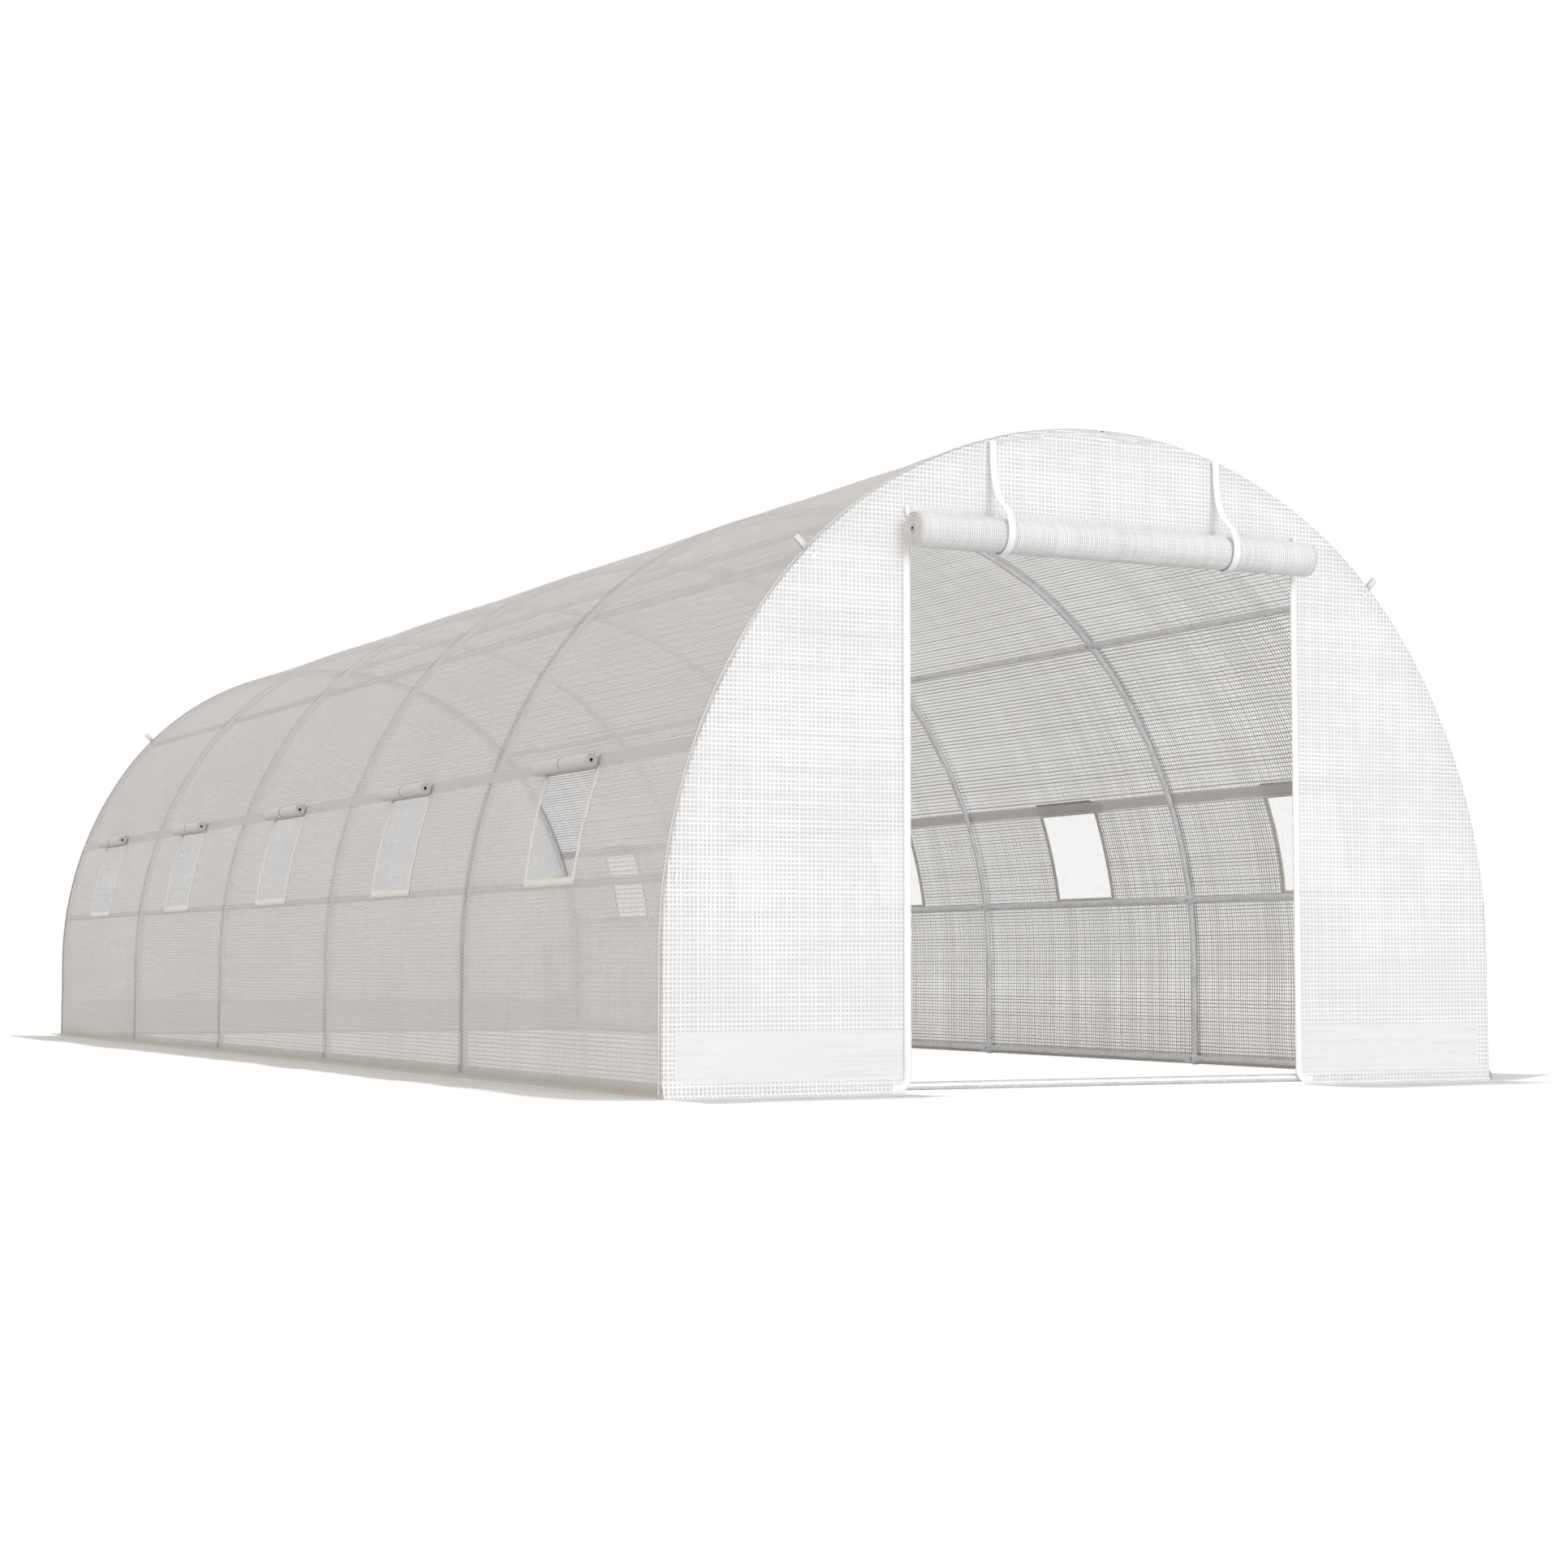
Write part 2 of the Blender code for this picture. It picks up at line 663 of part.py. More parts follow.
def build_window_rolls():
    """Ten rolled flaps. Each one's origin is on the axis of the wall's curve, where it turns."""
    rise = arch_turn(WINDOW_ROLL_HEIGHT)
    radius, x, z = bend(rise)
    data = window_roll_mesh(radius)
    lift = Matrix.Rotation(rise, 4, "Y")
    about = Matrix.Rotation(math.pi, 4, "Z")
    for side, sign in (("left", -1), ("right", 1)):
        for number, y in enumerate(window_positions(side), 1):
            roll = place(f"window_roll_{side}_{number}", data, WINDOW_CLOTH_LOOK)
            thicken(roll, WINDOW_FLAP_CLOTH)
            along = y - sign * WINDOW_ROLL_OFF_WINDOW
            where = Matrix.Translation((sign * x, along, z))
            roll.matrix_world = where @ lift if sign < 0 else where @ about @ lift


def screen_mesh():
    """A window net on the inside of the +X wall, in the wall's place."""
    low = arch_turn(WINDOW_BOTTOM - SCREEN_LAP)
    high = arch_turn(WINDOW_TOP + SCREEN_LAP)
    turns = spread(low, high, SCREEN_ROWS)
    profile = [chord_point(turn, TUBE_R - SCREEN_CLOTH / 2) for turn in turns]
    width = WINDOW_WIDTH + 2 * SCREEN_LAP
    data = ribbon("window_net", profile, width, SCREEN_COLUMNS)
    net = bmesh.new()
    net.from_mesh(data)
    cells = net.faces[:]
    bmesh.ops.inset_individual(net, faces=cells, thickness=SCREEN_STRAND)
    bmesh.ops.delete(net, geom=cells, context="FACES")
    net.to_mesh(data)
    net.free()
    return data


def build_screens():
    """Ten window nets, on the inside of the walls."""
    data = screen_mesh()
    for side, turn in (("left", math.pi), ("right", 0.0)):
        for number, y in enumerate(window_positions(side), 1):
            screen = place(f"window_net_{side}_{number}", data, NET)
            thicken(screen, SCREEN_CLOTH)
            screen.location = (0, y, 0)
            screen.rotation_euler = (0, 0, turn)


def build_door_roll():
    """The rolled-up door, along X, on the outside of the front panel."""
    points = scroll(
        DOOR_ROLL_CORE,
        DOOR_ROLL_RADIUS,
        DOOR_ROLL_TURNS,
        DOOR_POINTS_PER_TURN,
        DOOR_CLOTH,
    )
    gap = least_gap(points, DOOR_POINTS_PER_TURN, DOOR_CLOTH)
    print(f"door roll: least gap {gap * 1000:.2f} mm")
    profile = [(out - DOOR_ROLL_RADIUS, up) for out, up in points]
    profile.append((profile[-1][0], DOOR_SHEET_LAP - 2 * GAP))
    data = ribbon("door_roll", profile, DOOR_ROLL_LENGTH)
    smooth(data, math.radians(60))
    roll = thicken(place("door_roll", data, DOOR_CLOTH_LOOK), DOOR_CLOTH)
    roll.location = (DOOR_CENTRE, -DOOR_ROLL_DEPTH, DOOR_ROLL_HEIGHT)
    roll.rotation_euler = (0, 0, -math.pi / 2)


def build_door_sheet():
    """The part of the door that hangs flat between its seam over the doorway and the roll."""
    bottom = DOOR_ROLL_HEIGHT + DOOR_SHEET_LAP
    face = PANEL_FACE + GAP
    low = (DOOR_CENTRE - DOOR_HALF + GAP, -face - DOOR_CLOTH, bottom)
    high = (DOOR_CENTRE + DOOR_HALF - GAP, -face, DOOR_SHEET_TOP)
    sheet = box("door_sheet", low, high, GREENHOUSE)
    sheet.data.materials.append(DOOR_CLOTH_LOOK)


def build_zips():
    """A zip tape down each side of the doorway, and its slider above the rolled door."""
    face = PANEL_FACE + GAP
    sliders = slider_mesh()
    for side, sign in (("left", -1), ("right", 1)):
        edges = sorted((sign * (DOOR_HALF + GAP), sign * (DOOR_HALF + ZIP_WIDTH)))
        low = (DOOR_CENTRE + edges[0], -face - ZIP_TAPE, HEM_CLEARANCE)
        high = (DOOR_CENTRE + edges[1], -face, DOOR_SHEET_TOP)
        tape = box(f"door_zip_{side}", low, high, GREENHOUSE)
        tape.data.materials.append(ZIP_LOOK)
        slider = place(f"zip_slider_{side}", sliders, ZIP_METAL)
        middle = DOOR_CENTRE + sign * (DOOR_HALF + ZIP_WIDTH / 2)
        slider.location = (middle, -ZIP_FACE - GAP, DOOR_ROLL_HEIGHT + SLIDER_ABOVE_ROLL)


def slider_body():
    """A zip slider's body, which narrows downwards, standing out towards -Y."""
    foot, half = SLIDER_FOOT_WIDTH / 2, SLIDER_WIDTH / 2
    right = [(foot, 0.0), (half, SLIDER_SHOULDER), (half, SLIDER_LENGTH)]
    outline = right + [(-x, z) for x, z in right[::-1]]
    body = bmesh.new()
    plate = body.faces.new([body.verts.new((x, 0, z)) for x, z in outline])
    drawn = bmesh.ops.extrude_face_region(body, geom=[plate])["geom"]
    front = [item for item in drawn if isinstance(item, bmesh.types.BMVert)]
    bmesh.ops.translate(body, verts=front, vec=(0, -SLIDER_HEIGHT, 0))
    bmesh.ops.recalc_face_normals(body, faces=body.faces[:])
    data = bpy.data.meshes.new("zip_slider_body")
    body.to_mesh(data)
    body.free()
    return data


def slider_mesh():
    """A zip slider with its pull tab, which hangs in front from the middle of its body."""
    half = PULL_WIDTH / 2
    low = (-half, -SLIDER_HEIGHT - PULL_THICKNESS, PULL_HINGE_HEIGHT - PULL_LENGTH)
    high = (half, -SLIDER_HEIGHT + PULL_THICKNESS, PULL_HINGE_HEIGHT)
    pull = as_cutter(box("zip_pull", low, high, CUTTERS))

    def join(holder):
        union = holder.modifiers.new("pull", "BOOLEAN")
        union.operation = "UNION"
        union.solver = "EXACT"
        union.object = pull

    return baked(slider_body(), "zip_slider", join)


def build_ties():
    """Two straps that hang from the arch over the door roll, and their loops under it."""
    edge = ROOF_MID + CLOTH / 2
    top = TOP_CENTRE + math.sqrt((TOP_RADIUS + edge) ** 2 - TIE_OFFSET**2)
    front = DOOR_ROLL_RADIUS + GAP + TIE_CLOTH / 2
    start = DOOR_ROLL_DEPTH - PANEL_FACE - GAP - TIE_CLOTH / 2
    rise = top - DOOR_ROLL_HEIGHT
    hang = [
        (start, rise - TIE_START_BELOW_ARCH),
        (start * TIE_CLEARING_SHARE, rise - TIE_CLEARS_ARCH),
        *((out * (start if out > 0 else front), up * rise) for out, up in TIE_HANG_SHARES),
        (-front, 0.0),
    ]
    strap = ribbon("door_tie", smooth_path(hang, TIE_HANG_POINTS), TIE_WIDTH)
    smooth(strap, math.radians(60))
    sweep = [
        (-front * math.cos(turn), -front * math.sin(turn))
        for turn in spread(TIE_CLOTH / front, TIE_LOOP_SWEEP, TIE_LOOP_STEPS)
    ]
    loop = ribbon("door_tie_loop", sweep, TIE_WIDTH)
    smooth(loop, math.radians(60))
    for side, sign in (("left", -1), ("right", 1)):
        for name, data in (("door_tie", strap), ("door_tie_loop", loop)):
            tie = thicken(place(f"{name}_{side}", data, WEBBING), TIE_CLOTH)
            out = DOOR_CENTRE + sign * TIE_OFFSET
            tie.location = (out, -DOOR_ROLL_DEPTH, DOOR_ROLL_HEIGHT)
            tie.rotation_euler = (0, 0, math.pi / 2)


def loop_mesh():
    """A webbing loop for a guy rope: out from the cover and back, folded over its end."""
    half = LOOP_GAP / 2 + LOOP_CLOTH / 2
    foot = GAP + LOOP_CLOTH / 2
    straight = LOOP_LENGTH - half
    fold = [
        (half * math.cos(turn), straight + half * math.sin(turn))
        for turn in spread(0.0, math.pi, 4)
    ]
    profile = [(half, foot), *fold, (-half, foot)]
    data = ribbon("guy_loop", profile, LOOP_WIDTH)
    smooth(data)
    return data


def build_guy_loops():
    """Four loops on the roof cloth, near the corners of the two ends."""
    data = loop_mesh()
    turn = arch_turn(UPPER_RAIL_HEIGHT)
    x, z = chord_point(turn, ROOF_MID + CLOTH / 2)
    y = CLOTH_HALF_LENGTH - LOOP_FROM_EDGE
    for end, along in (("front", -1), ("back", 1)):
        for side, sign in (("left", -1), ("right", 1)):
            loop = place(f"guy_loop_{end}_{side}", data, WEBBING)
            thicken(loop, LOOP_CLOTH)
            lean = Matrix.Rotation(sign * (math.pi / 2 - turn), 4, "Y")
            across = Matrix.Rotation(math.pi / 2, 4, "Z")
            loop.matrix_world = Matrix.Translation((sign * x, along * y, z)) @ lean @ across


build_hoops()
build_rails()
build_sills()
build_roof()
build_walls()
build_end_panels()
build_flaps()
build_window_rolls()
build_screens()
build_door_roll()
build_door_sheet()
build_zips()
build_ties()
build_guy_loops()
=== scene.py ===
"""Looks of the tunnel greenhouse: woven film cover, trims, rolls, steel, floor and light.

Metres, +Z up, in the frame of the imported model. The door is at the -Y end.
"""

import math

import bmesh
import bpy
import numpy as np
from mathutils import Matrix, Vector


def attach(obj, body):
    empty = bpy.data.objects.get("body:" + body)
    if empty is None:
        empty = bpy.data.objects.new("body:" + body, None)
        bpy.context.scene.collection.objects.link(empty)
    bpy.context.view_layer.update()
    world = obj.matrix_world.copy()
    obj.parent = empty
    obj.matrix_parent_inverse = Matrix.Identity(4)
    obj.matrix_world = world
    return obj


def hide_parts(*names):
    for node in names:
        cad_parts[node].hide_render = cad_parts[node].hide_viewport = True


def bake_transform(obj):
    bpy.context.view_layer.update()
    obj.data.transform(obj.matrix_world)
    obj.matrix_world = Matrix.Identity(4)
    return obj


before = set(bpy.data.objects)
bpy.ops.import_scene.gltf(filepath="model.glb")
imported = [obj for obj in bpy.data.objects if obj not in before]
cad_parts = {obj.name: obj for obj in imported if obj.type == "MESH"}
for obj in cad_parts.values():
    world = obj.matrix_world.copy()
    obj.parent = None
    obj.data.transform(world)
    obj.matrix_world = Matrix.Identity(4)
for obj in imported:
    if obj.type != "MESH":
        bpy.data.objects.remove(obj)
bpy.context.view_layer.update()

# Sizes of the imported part
TUBE_R = 0.0125
HALF_WIDTH = 1.485
HEIGHT = 2.033
LEG = 0.408
SIDE_RADIUS = 1.785
SIDE_CENTRE = SIDE_RADIUS - HALF_WIDTH
RISE = HEIGHT - LEG
TOP_RADIUS = (SIDE_RADIUS**2 - SIDE_CENTRE**2 - RISE**2) / (2 * (SIDE_RADIUS - RISE))
TOP_CENTRE = HEIGHT - TOP_RADIUS
TURN = math.atan2(TOP_CENTRE - LEG, SIDE_CENTRE)
HOOPS = (-3.985, -2.325, -0.775, 0.775, 2.325, 3.985)
SIDES = (("left", -1), ("right", 1))
ENDS = (("front", -1), ("back", 1))
WINDOW_PITCH, LEFT_WINDOWS_BACK = 1.5625, 0.061
WINDOWS = {
    side: tuple((i - 2) * WINDOW_PITCH + back for i in range(5))
    for side, back in (("left", LEFT_WINDOWS_BACK), ("right", 0.0))
}
ROLL_OFF_WINDOW = 0.027
GAP = 0.0003
CLOTH = 0.0015
WALL_MID = 0.01355
ROOF_MID = 0.01535
PANEL_MID = 3.99855
CLOTH_END = 3.9975
SEAM = 1.014
SEAM_LAP = 0.040
HEM = 0.004
WINDOW_LOW, WINDOW_HIGH, WINDOW_WIDTH = 0.650, 0.993, 0.400
WINDOW_ROLL_UP = 1.005
WINDOW_ROLL_RADIUS = 0.023
WINDOW_ROLL_LENGTH = 0.475
WINDOW_TAIL = 0.032
DOOR_CENTRE = 0.011
DOOR_HALF = 0.700
DOOR_TOP = 1.700
DOOR_SHEET_TOP = 1.762
DOOR_ROLL_UP = 1.681
DOOR_ROLL_RADIUS = 0.057
DOOR_ROLL_DEPTH = 4.0584
DOOR_ROLL_LENGTH = 1.448
TIE_OFFSET, TIE_WIDTH = 0.411, 0.026
BASE_RAIL, MID_RAIL, UPPER_RAIL = 0.0225, 0.634, 1.602
SIDE_FLAP, END_FLAP = 0.300, 0.340
DOOR_TRAVEL, FLAP_TRAVEL = 1.57, math.radians(13.2)

# Sizes of the looks
JAMB_RADIUS = 0.045
RIM = 0.011
RIM_BACK = 0.012
COVER_END = PANEL_MID - RIM - 0.001
PANEL_EDGE = ROOF_MID + 0.0012
NET_MID = 0.0118
NET_LAP = 0.014
HEM_BAND = 0.022
FLAP_BEND = 0.016
FLAP_RISE = (0.045, 0.034, 0.0215, 0.019)
BOLT_STAND = 0.0063
LOOP_WIDTH = 0.019
THREAD_SPREAD = 0.28
PANEL_PITCH = (0.0137, 0.0135)
WALL_PITCH = (0.0137, 0.0144)
ROOF_PITCH = (0.0158, 0.0144)

# Light and camera
LIGHT_WAY = (-0.22, 1.0, -0.42)
CAMERA_PLACE = (-4.7327, -11.2974, 0.3820)
CAMERA_UP, CAMERA_RIGHT = 3.7024, 26.3923
CAMERA_LENS = 64.177

TOP_ARC = TOP_RADIUS * (math.pi / 2 - TURN)
SIDE_ARC = SIDE_RADIUS * TURN
FOOT_LINE = TOP_ARC + SIDE_ARC + LEG


# Shapes


def arch(a, offset):
    """(x, z, normal x, normal z) at a distance from the ridge along the hoop's centre line."""
    b, sign = np.abs(a), np.where(np.asarray(a) < 0, -1.0, 1.0)
    top = b <= TOP_ARC
    turn = np.where(top, math.pi / 2 - b / TOP_RADIUS, TURN - (b - TOP_ARC) / SIDE_RADIUS)
    turn = np.maximum(turn, 0.0)
    reach = np.where(top, TOP_RADIUS, SIDE_RADIUS) + offset
    x = np.where(top, 0.0, -SIDE_CENTRE) + reach * np.cos(turn)
    below = np.maximum(b - TOP_ARC - SIDE_ARC, 0.0)
    z = np.where(top, TOP_CENTRE, LEG) + reach * np.sin(turn) - below
    return sign * x, z, sign * np.cos(turn), np.sin(turn)


def along(height, offset=0.0):
    """The distance from the ridge at which the arch, moved outwards, has a height."""
    if height < LEG:
        return FOOT_LINE - height
    side = (height - LEG) / (SIDE_RADIUS + offset)
    if side < math.sin(TURN):
        return TOP_ARC + (TURN - math.asin(side)) * SIDE_RADIUS
    return (math.pi / 2 - math.asin((height - TOP_CENTRE) / (TOP_RADIUS + offset))) * TOP_RADIUS


def noise(u, v, seed):
    """Smooth noise from -1 to 1, with one cell per unit."""
    table = np.random.RandomState(seed).uniform(-1, 1, (64, 64))
    iu, iv = np.floor(u).astype(int), np.floor(v).astype(int)
    fu, fv = u - iu, v - iv
    fu, fv = fu * fu * (3 - 2 * fu), fv * fv * (3 - 2 * fv)
    low = table[iu % 64, iv % 64] * (1 - fu) + table[(iu + 1) % 64, iv % 64] * fu
    high = table[iu % 64, (iv + 1) % 64] * (1 - fu) + table[(iu + 1) % 64, (iv + 1) % 64] * fu
    return low * (1 - fv) + high * fv


def folds(u, v, seed):
    """Sharp-crested folds from 0 to 1, as creased film has."""
    warp = noise(u * 0.7, v * 0.7, seed + 1)
    return (1 - np.abs(noise(u + warp, v - warp, seed))) ** 3


def near(value, marks, width):
    """1 at any of the marks, falling to 0 within a few widths."""
    return sum(np.exp(-(((value - mark) / width) ** 2)) for mark in marks)


def ramp(value, start, end):
    t = np.clip((value - start) / (end - start), 0, 1)
    return t * t * (3 - 2 * t)


def cover_lift(a, y):
    """How far the cover stands out from its true arch: it sags and creases between hoops."""
    free = 1 - np.clip(near(y, HOOPS, 0.07), 0, 1)
    sag = -0.0035 * np.sin(np.clip(nearest(y, HOOPS) / 0.8, 0, 1) * math.pi / 2) ** 2
    lift = sag + 0.0008 * noise(a * 4 + 20, y * 1.6 + 20, 3)
    front = near(y, (-3.30,), 0.62)
    crease = folds(a * 2.2 - y * 1.3 + 30, y * 1.9 + a * 0.8 + 30, 5)
    lift = lift - crease * (0.0010 + 0.0034 * front)
    slant = folds(a * 4.2 + y * 3.1 + 11, a * 0.9 - y * 1.0 + 11, 9)
    lift = lift - 0.0065 * slant * front * ramp(np.abs(a), 0.5, 1.0)
    small = folds(a * 9.0 + y * 5.0 + 3, y * 4.0 - a * 2.0 + 3, 13)
    lift = lift - small * (0.0003 + 0.0017 * front)
    ridge = 0.2 + 0.8 * ramp(np.abs(a), 0.05, 0.6)
    hem = 1 - 0.8 * ramp(np.abs(a), along(0.12), along(0.03))
    return lift * free * ridge * hem


def together(*parts):
    """Coordinates side by side, with the lone ones repeated."""
    return np.stack(np.broadcast_arrays(*parts), axis=-1)


def crossed(rows, columns):
    return np.meshgrid(rows, columns, indexing="ij")


def nearest(value, marks):
    """How far each value is from the mark next to it."""
    return np.min([np.abs(value - mark) for mark in marks], axis=0)


def breaks(marks, step):
    """Even divisions between marks, no wider than the step."""
    values = [marks[0]]
    for low, high in zip(marks, marks[1:]):
        count = max(1, math.ceil(abs(high - low) / step))
        values += list(np.linspace(low, high, count + 1)[1:])
    return np.array(values)


def new_object(name, data, looks=()):
    made = bpy.data.objects.new(name, data)
    bpy.context.scene.collection.objects.link(made)
    for look in looks:
        data.materials.append(look)
    return made


def surface(name, points, weave, looks, keep=None, look_of=None):
    """A smooth grid surface that carries its weave coordinates, in metres."""
    rows, columns = points.shape[:2]
    index = np.arange(rows * columns).reshape(rows, columns)
    faces = together(index[:-1, :-1], index[:-1, 1:], index[1:, 1:], index[1:, :-1])
    which = np.zeros(faces.shape[:2], int) if look_of is None else look_of
    if keep is not None:
        faces, which = faces[keep], which[keep]
    faces, which = faces.reshape(-1, 4), which.reshape(-1)
    used, inverse = np.unique(faces, return_inverse=True)
    faces = inverse.reshape(faces.shape)
    data = bpy.data.meshes.new(name)
    data.from_pydata(points.reshape(-1, 3)[used].tolist(), [], faces.tolist())
    data.polygons.foreach_set("material_index", which.astype(np.int32))
    lay = data.attributes.new("weave", "FLOAT_VECTOR", "POINT")
    flat = np.zeros((len(used), 3), np.float32)
    flat[:, : weave.shape[-1]] = weave.reshape(-1, weave.shape[-1])[used]
    lay.data.foreach_set("vector", flat.ravel())
    data.shade_smooth()
    data.update()
    return new_object(name, data, looks)


def thicken(made, thickness, offset=0):
    shell = made.modifiers.new("thickness", "SOLIDIFY")
    shell.thickness = thickness
    shell.offset = offset
    return made


def stand_for(made, node, body="root"):
    """A piece takes the place of a CAD node, which is hidden, and rides on a body."""
    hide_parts(node)
    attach(made, body)


def run_of(path):
    """How far along a path each of its points lies."""
    steps = np.linalg.norm(np.diff(np.asarray(path, float), axis=0), axis=1)
    return np.concatenate([[0], np.cumsum(steps)])


def strip(name, path, across, width, look, thickness):
    """A flat strap along a path of points, as wide as given along the unit vectors across."""
    path = np.asarray(path, float)
    across = np.broadcast_to(np.asarray(across, float), path.shape)
    side = np.array([-0.5, -0.3, 0.0, 0.3, 0.5]) * width
    points = path[:, None] + across[:, None] * side[None, :, None]
    weave = together(run_of(path)[:, None], side[None])
    made = surface(name, points, weave, [look])
    return thicken(made, thickness)


# Materials


class Look:
    """A node material or world, built call by call."""

    def __init__(self, name, library=None):
        self.made = (bpy.data.materials if library is None else library).new(name)
        self.made.use_nodes = True
        self.tree = self.made.node_tree
        self.tree.nodes.clear()

    def put(self, socket, value):
        """Link or set an input. A colour gets its alpha here."""
        if isinstance(value, bpy.types.NodeSocket):
            self.tree.links.new(value, socket)
        elif value is not None:
            socket.default_value = (*value, 1.0) if socket.type == "RGBA" else value

    def node(self, kind, inputs=(), **settings):
        made = self.tree.nodes.new(kind)
        for name, value in settings.items():
            setattr(made, name, value)
        for name, value in dict(inputs).items():
            self.put(made.inputs[name], value)
        return made

    def wired(self, made, *values):
        """A node's first output, once its first inputs have been given."""
        for socket, value in zip(made.inputs, values):
            self.put(socket, value)
        return made.outputs[0]

    def math(self, operation, *values):
        return self.wired(self.node("ShaderNodeMath", operation=operation), *values)

    def times(self, a, b):
        return self.math("MULTIPLY", a, b)

    def plus(self, a, b):
        return self.math("ADD", a, b)

    def most(self, a, b):
        return self.math("MAXIMUM", a, b)

    def away(self, value, mark):
        """How far a value is from a mark."""
        return self.math("ABSOLUTE", self.math("SUBTRACT", value, mark))

    def fit(self, value, low, high, to_low, to_high, smooth=True):
        kind = "SMOOTHSTEP" if smooth else "LINEAR"
        made = self.node("ShaderNodeMapRange", interpolation_type=kind)
        return self.wired(made, value, low, high, to_low, to_high)

    def blend(self, share, first, second):
        """A colour between two, by a share."""
        made = self.node("ShaderNodeMix", {"Factor": share}, data_type="RGBA")
        self.put(made.inputs[6], first)
        self.put(made.inputs[7], second)
        return made.outputs[2]

    def mix(self, share, first, second):
        return self.wired(self.node("ShaderNodeMixShader"), share, first, second)

    def grain(self, vector, scale, detail=2.0, roughness=0.5):
        inputs = {"Vector": vector, "Scale": scale, "Detail": detail, "Roughness": roughness}
        return self.node("ShaderNodeTexNoise", inputs).outputs[0]

    def weave(self):
        """(vector, s, t): the cloth's own coordinates, in metres."""
        vector = self.node("ShaderNodeAttribute", attribute_name="weave").outputs["Vector"]
        split = self.node("ShaderNodeSeparateXYZ", {"Vector": vector})
        self.third = split.outputs[2]
        return vector, split.outputs[0], split.outputs[1]

    def streaks(self, vector, turn, across, length):
        """Long soft wrinkles that run across the cloth at a slant."""
        inputs = {"Vector": vector, "Rotation": (0, 0, turn), "Scale": (across, length, 1.0)}
        laid = self.node("ShaderNodeMapping", inputs).outputs[0]
        patch = self.fit(self.grain(vector, 1.2, 1.0), 0.42, 0.62, 0, 1)
        return self.times(self.grain(laid, 1.0), patch)

    def place(self):
        return self.node("ShaderNodeTexCoord").outputs["Object"]

    def line(self, value, pitch, width, soft, sway=None):
        """1 on evenly pitched threads across a coordinate, 0 between them. Their widths vary."""
        cell = self.math("DIVIDE", value, pitch)
        if sway is not None:
            cell = self.plus(cell, sway)
        off = self.away(self.math("FRACT", cell), 0.5)
        number = self.math("FLOOR", cell)
        pick = self.node("ShaderNodeTexWhiteNoise", {"W": number}, noise_dimensions="1D")
        thin, thick = (0.5 * share * width for share in (1 - THREAD_SPREAD, 1 + THREAD_SPREAD))
        half = self.fit(pick.outputs["Value"], 0.0, 1.0, thin, thick, False)
        return self.fit(self.math("SUBTRACT", off, half), -soft, soft, 1.0, 0.0)

    def body(self, colour, roughness, normal=None, metallic=0.0):
        inputs = {"Base Color": colour, "Roughness": roughness, "Normal": normal, "Metallic": metallic}
        return self.node("ShaderNodeBsdfPrincipled", inputs).outputs[0]

    def cloth(self, glow, colour, roughness, normal):
        """A cloth's face, with a share of its light passing through."""
        through = self.node("ShaderNodeBsdfTranslucent", {"Color": colour, "Normal": normal})
        return self.mix(glow, self.body(colour, roughness, normal), through.outputs[0])

    def open(self):
        return self.node("ShaderNodeBsdfTransparent").outputs[0]

    def bump(self, height, distance, strength, normal=None):
        inputs = {"Height": height, "Distance": distance, "Strength": strength, "Normal": normal}
        return self.node("ShaderNodeBump", inputs).outputs[0]

    def done(self, shader, output="ShaderNodeOutputMaterial"):
        self.node(output, {"Surface": shader})
        return self.made


def shade(colour, share):
    return tuple(share * c for c in colour)


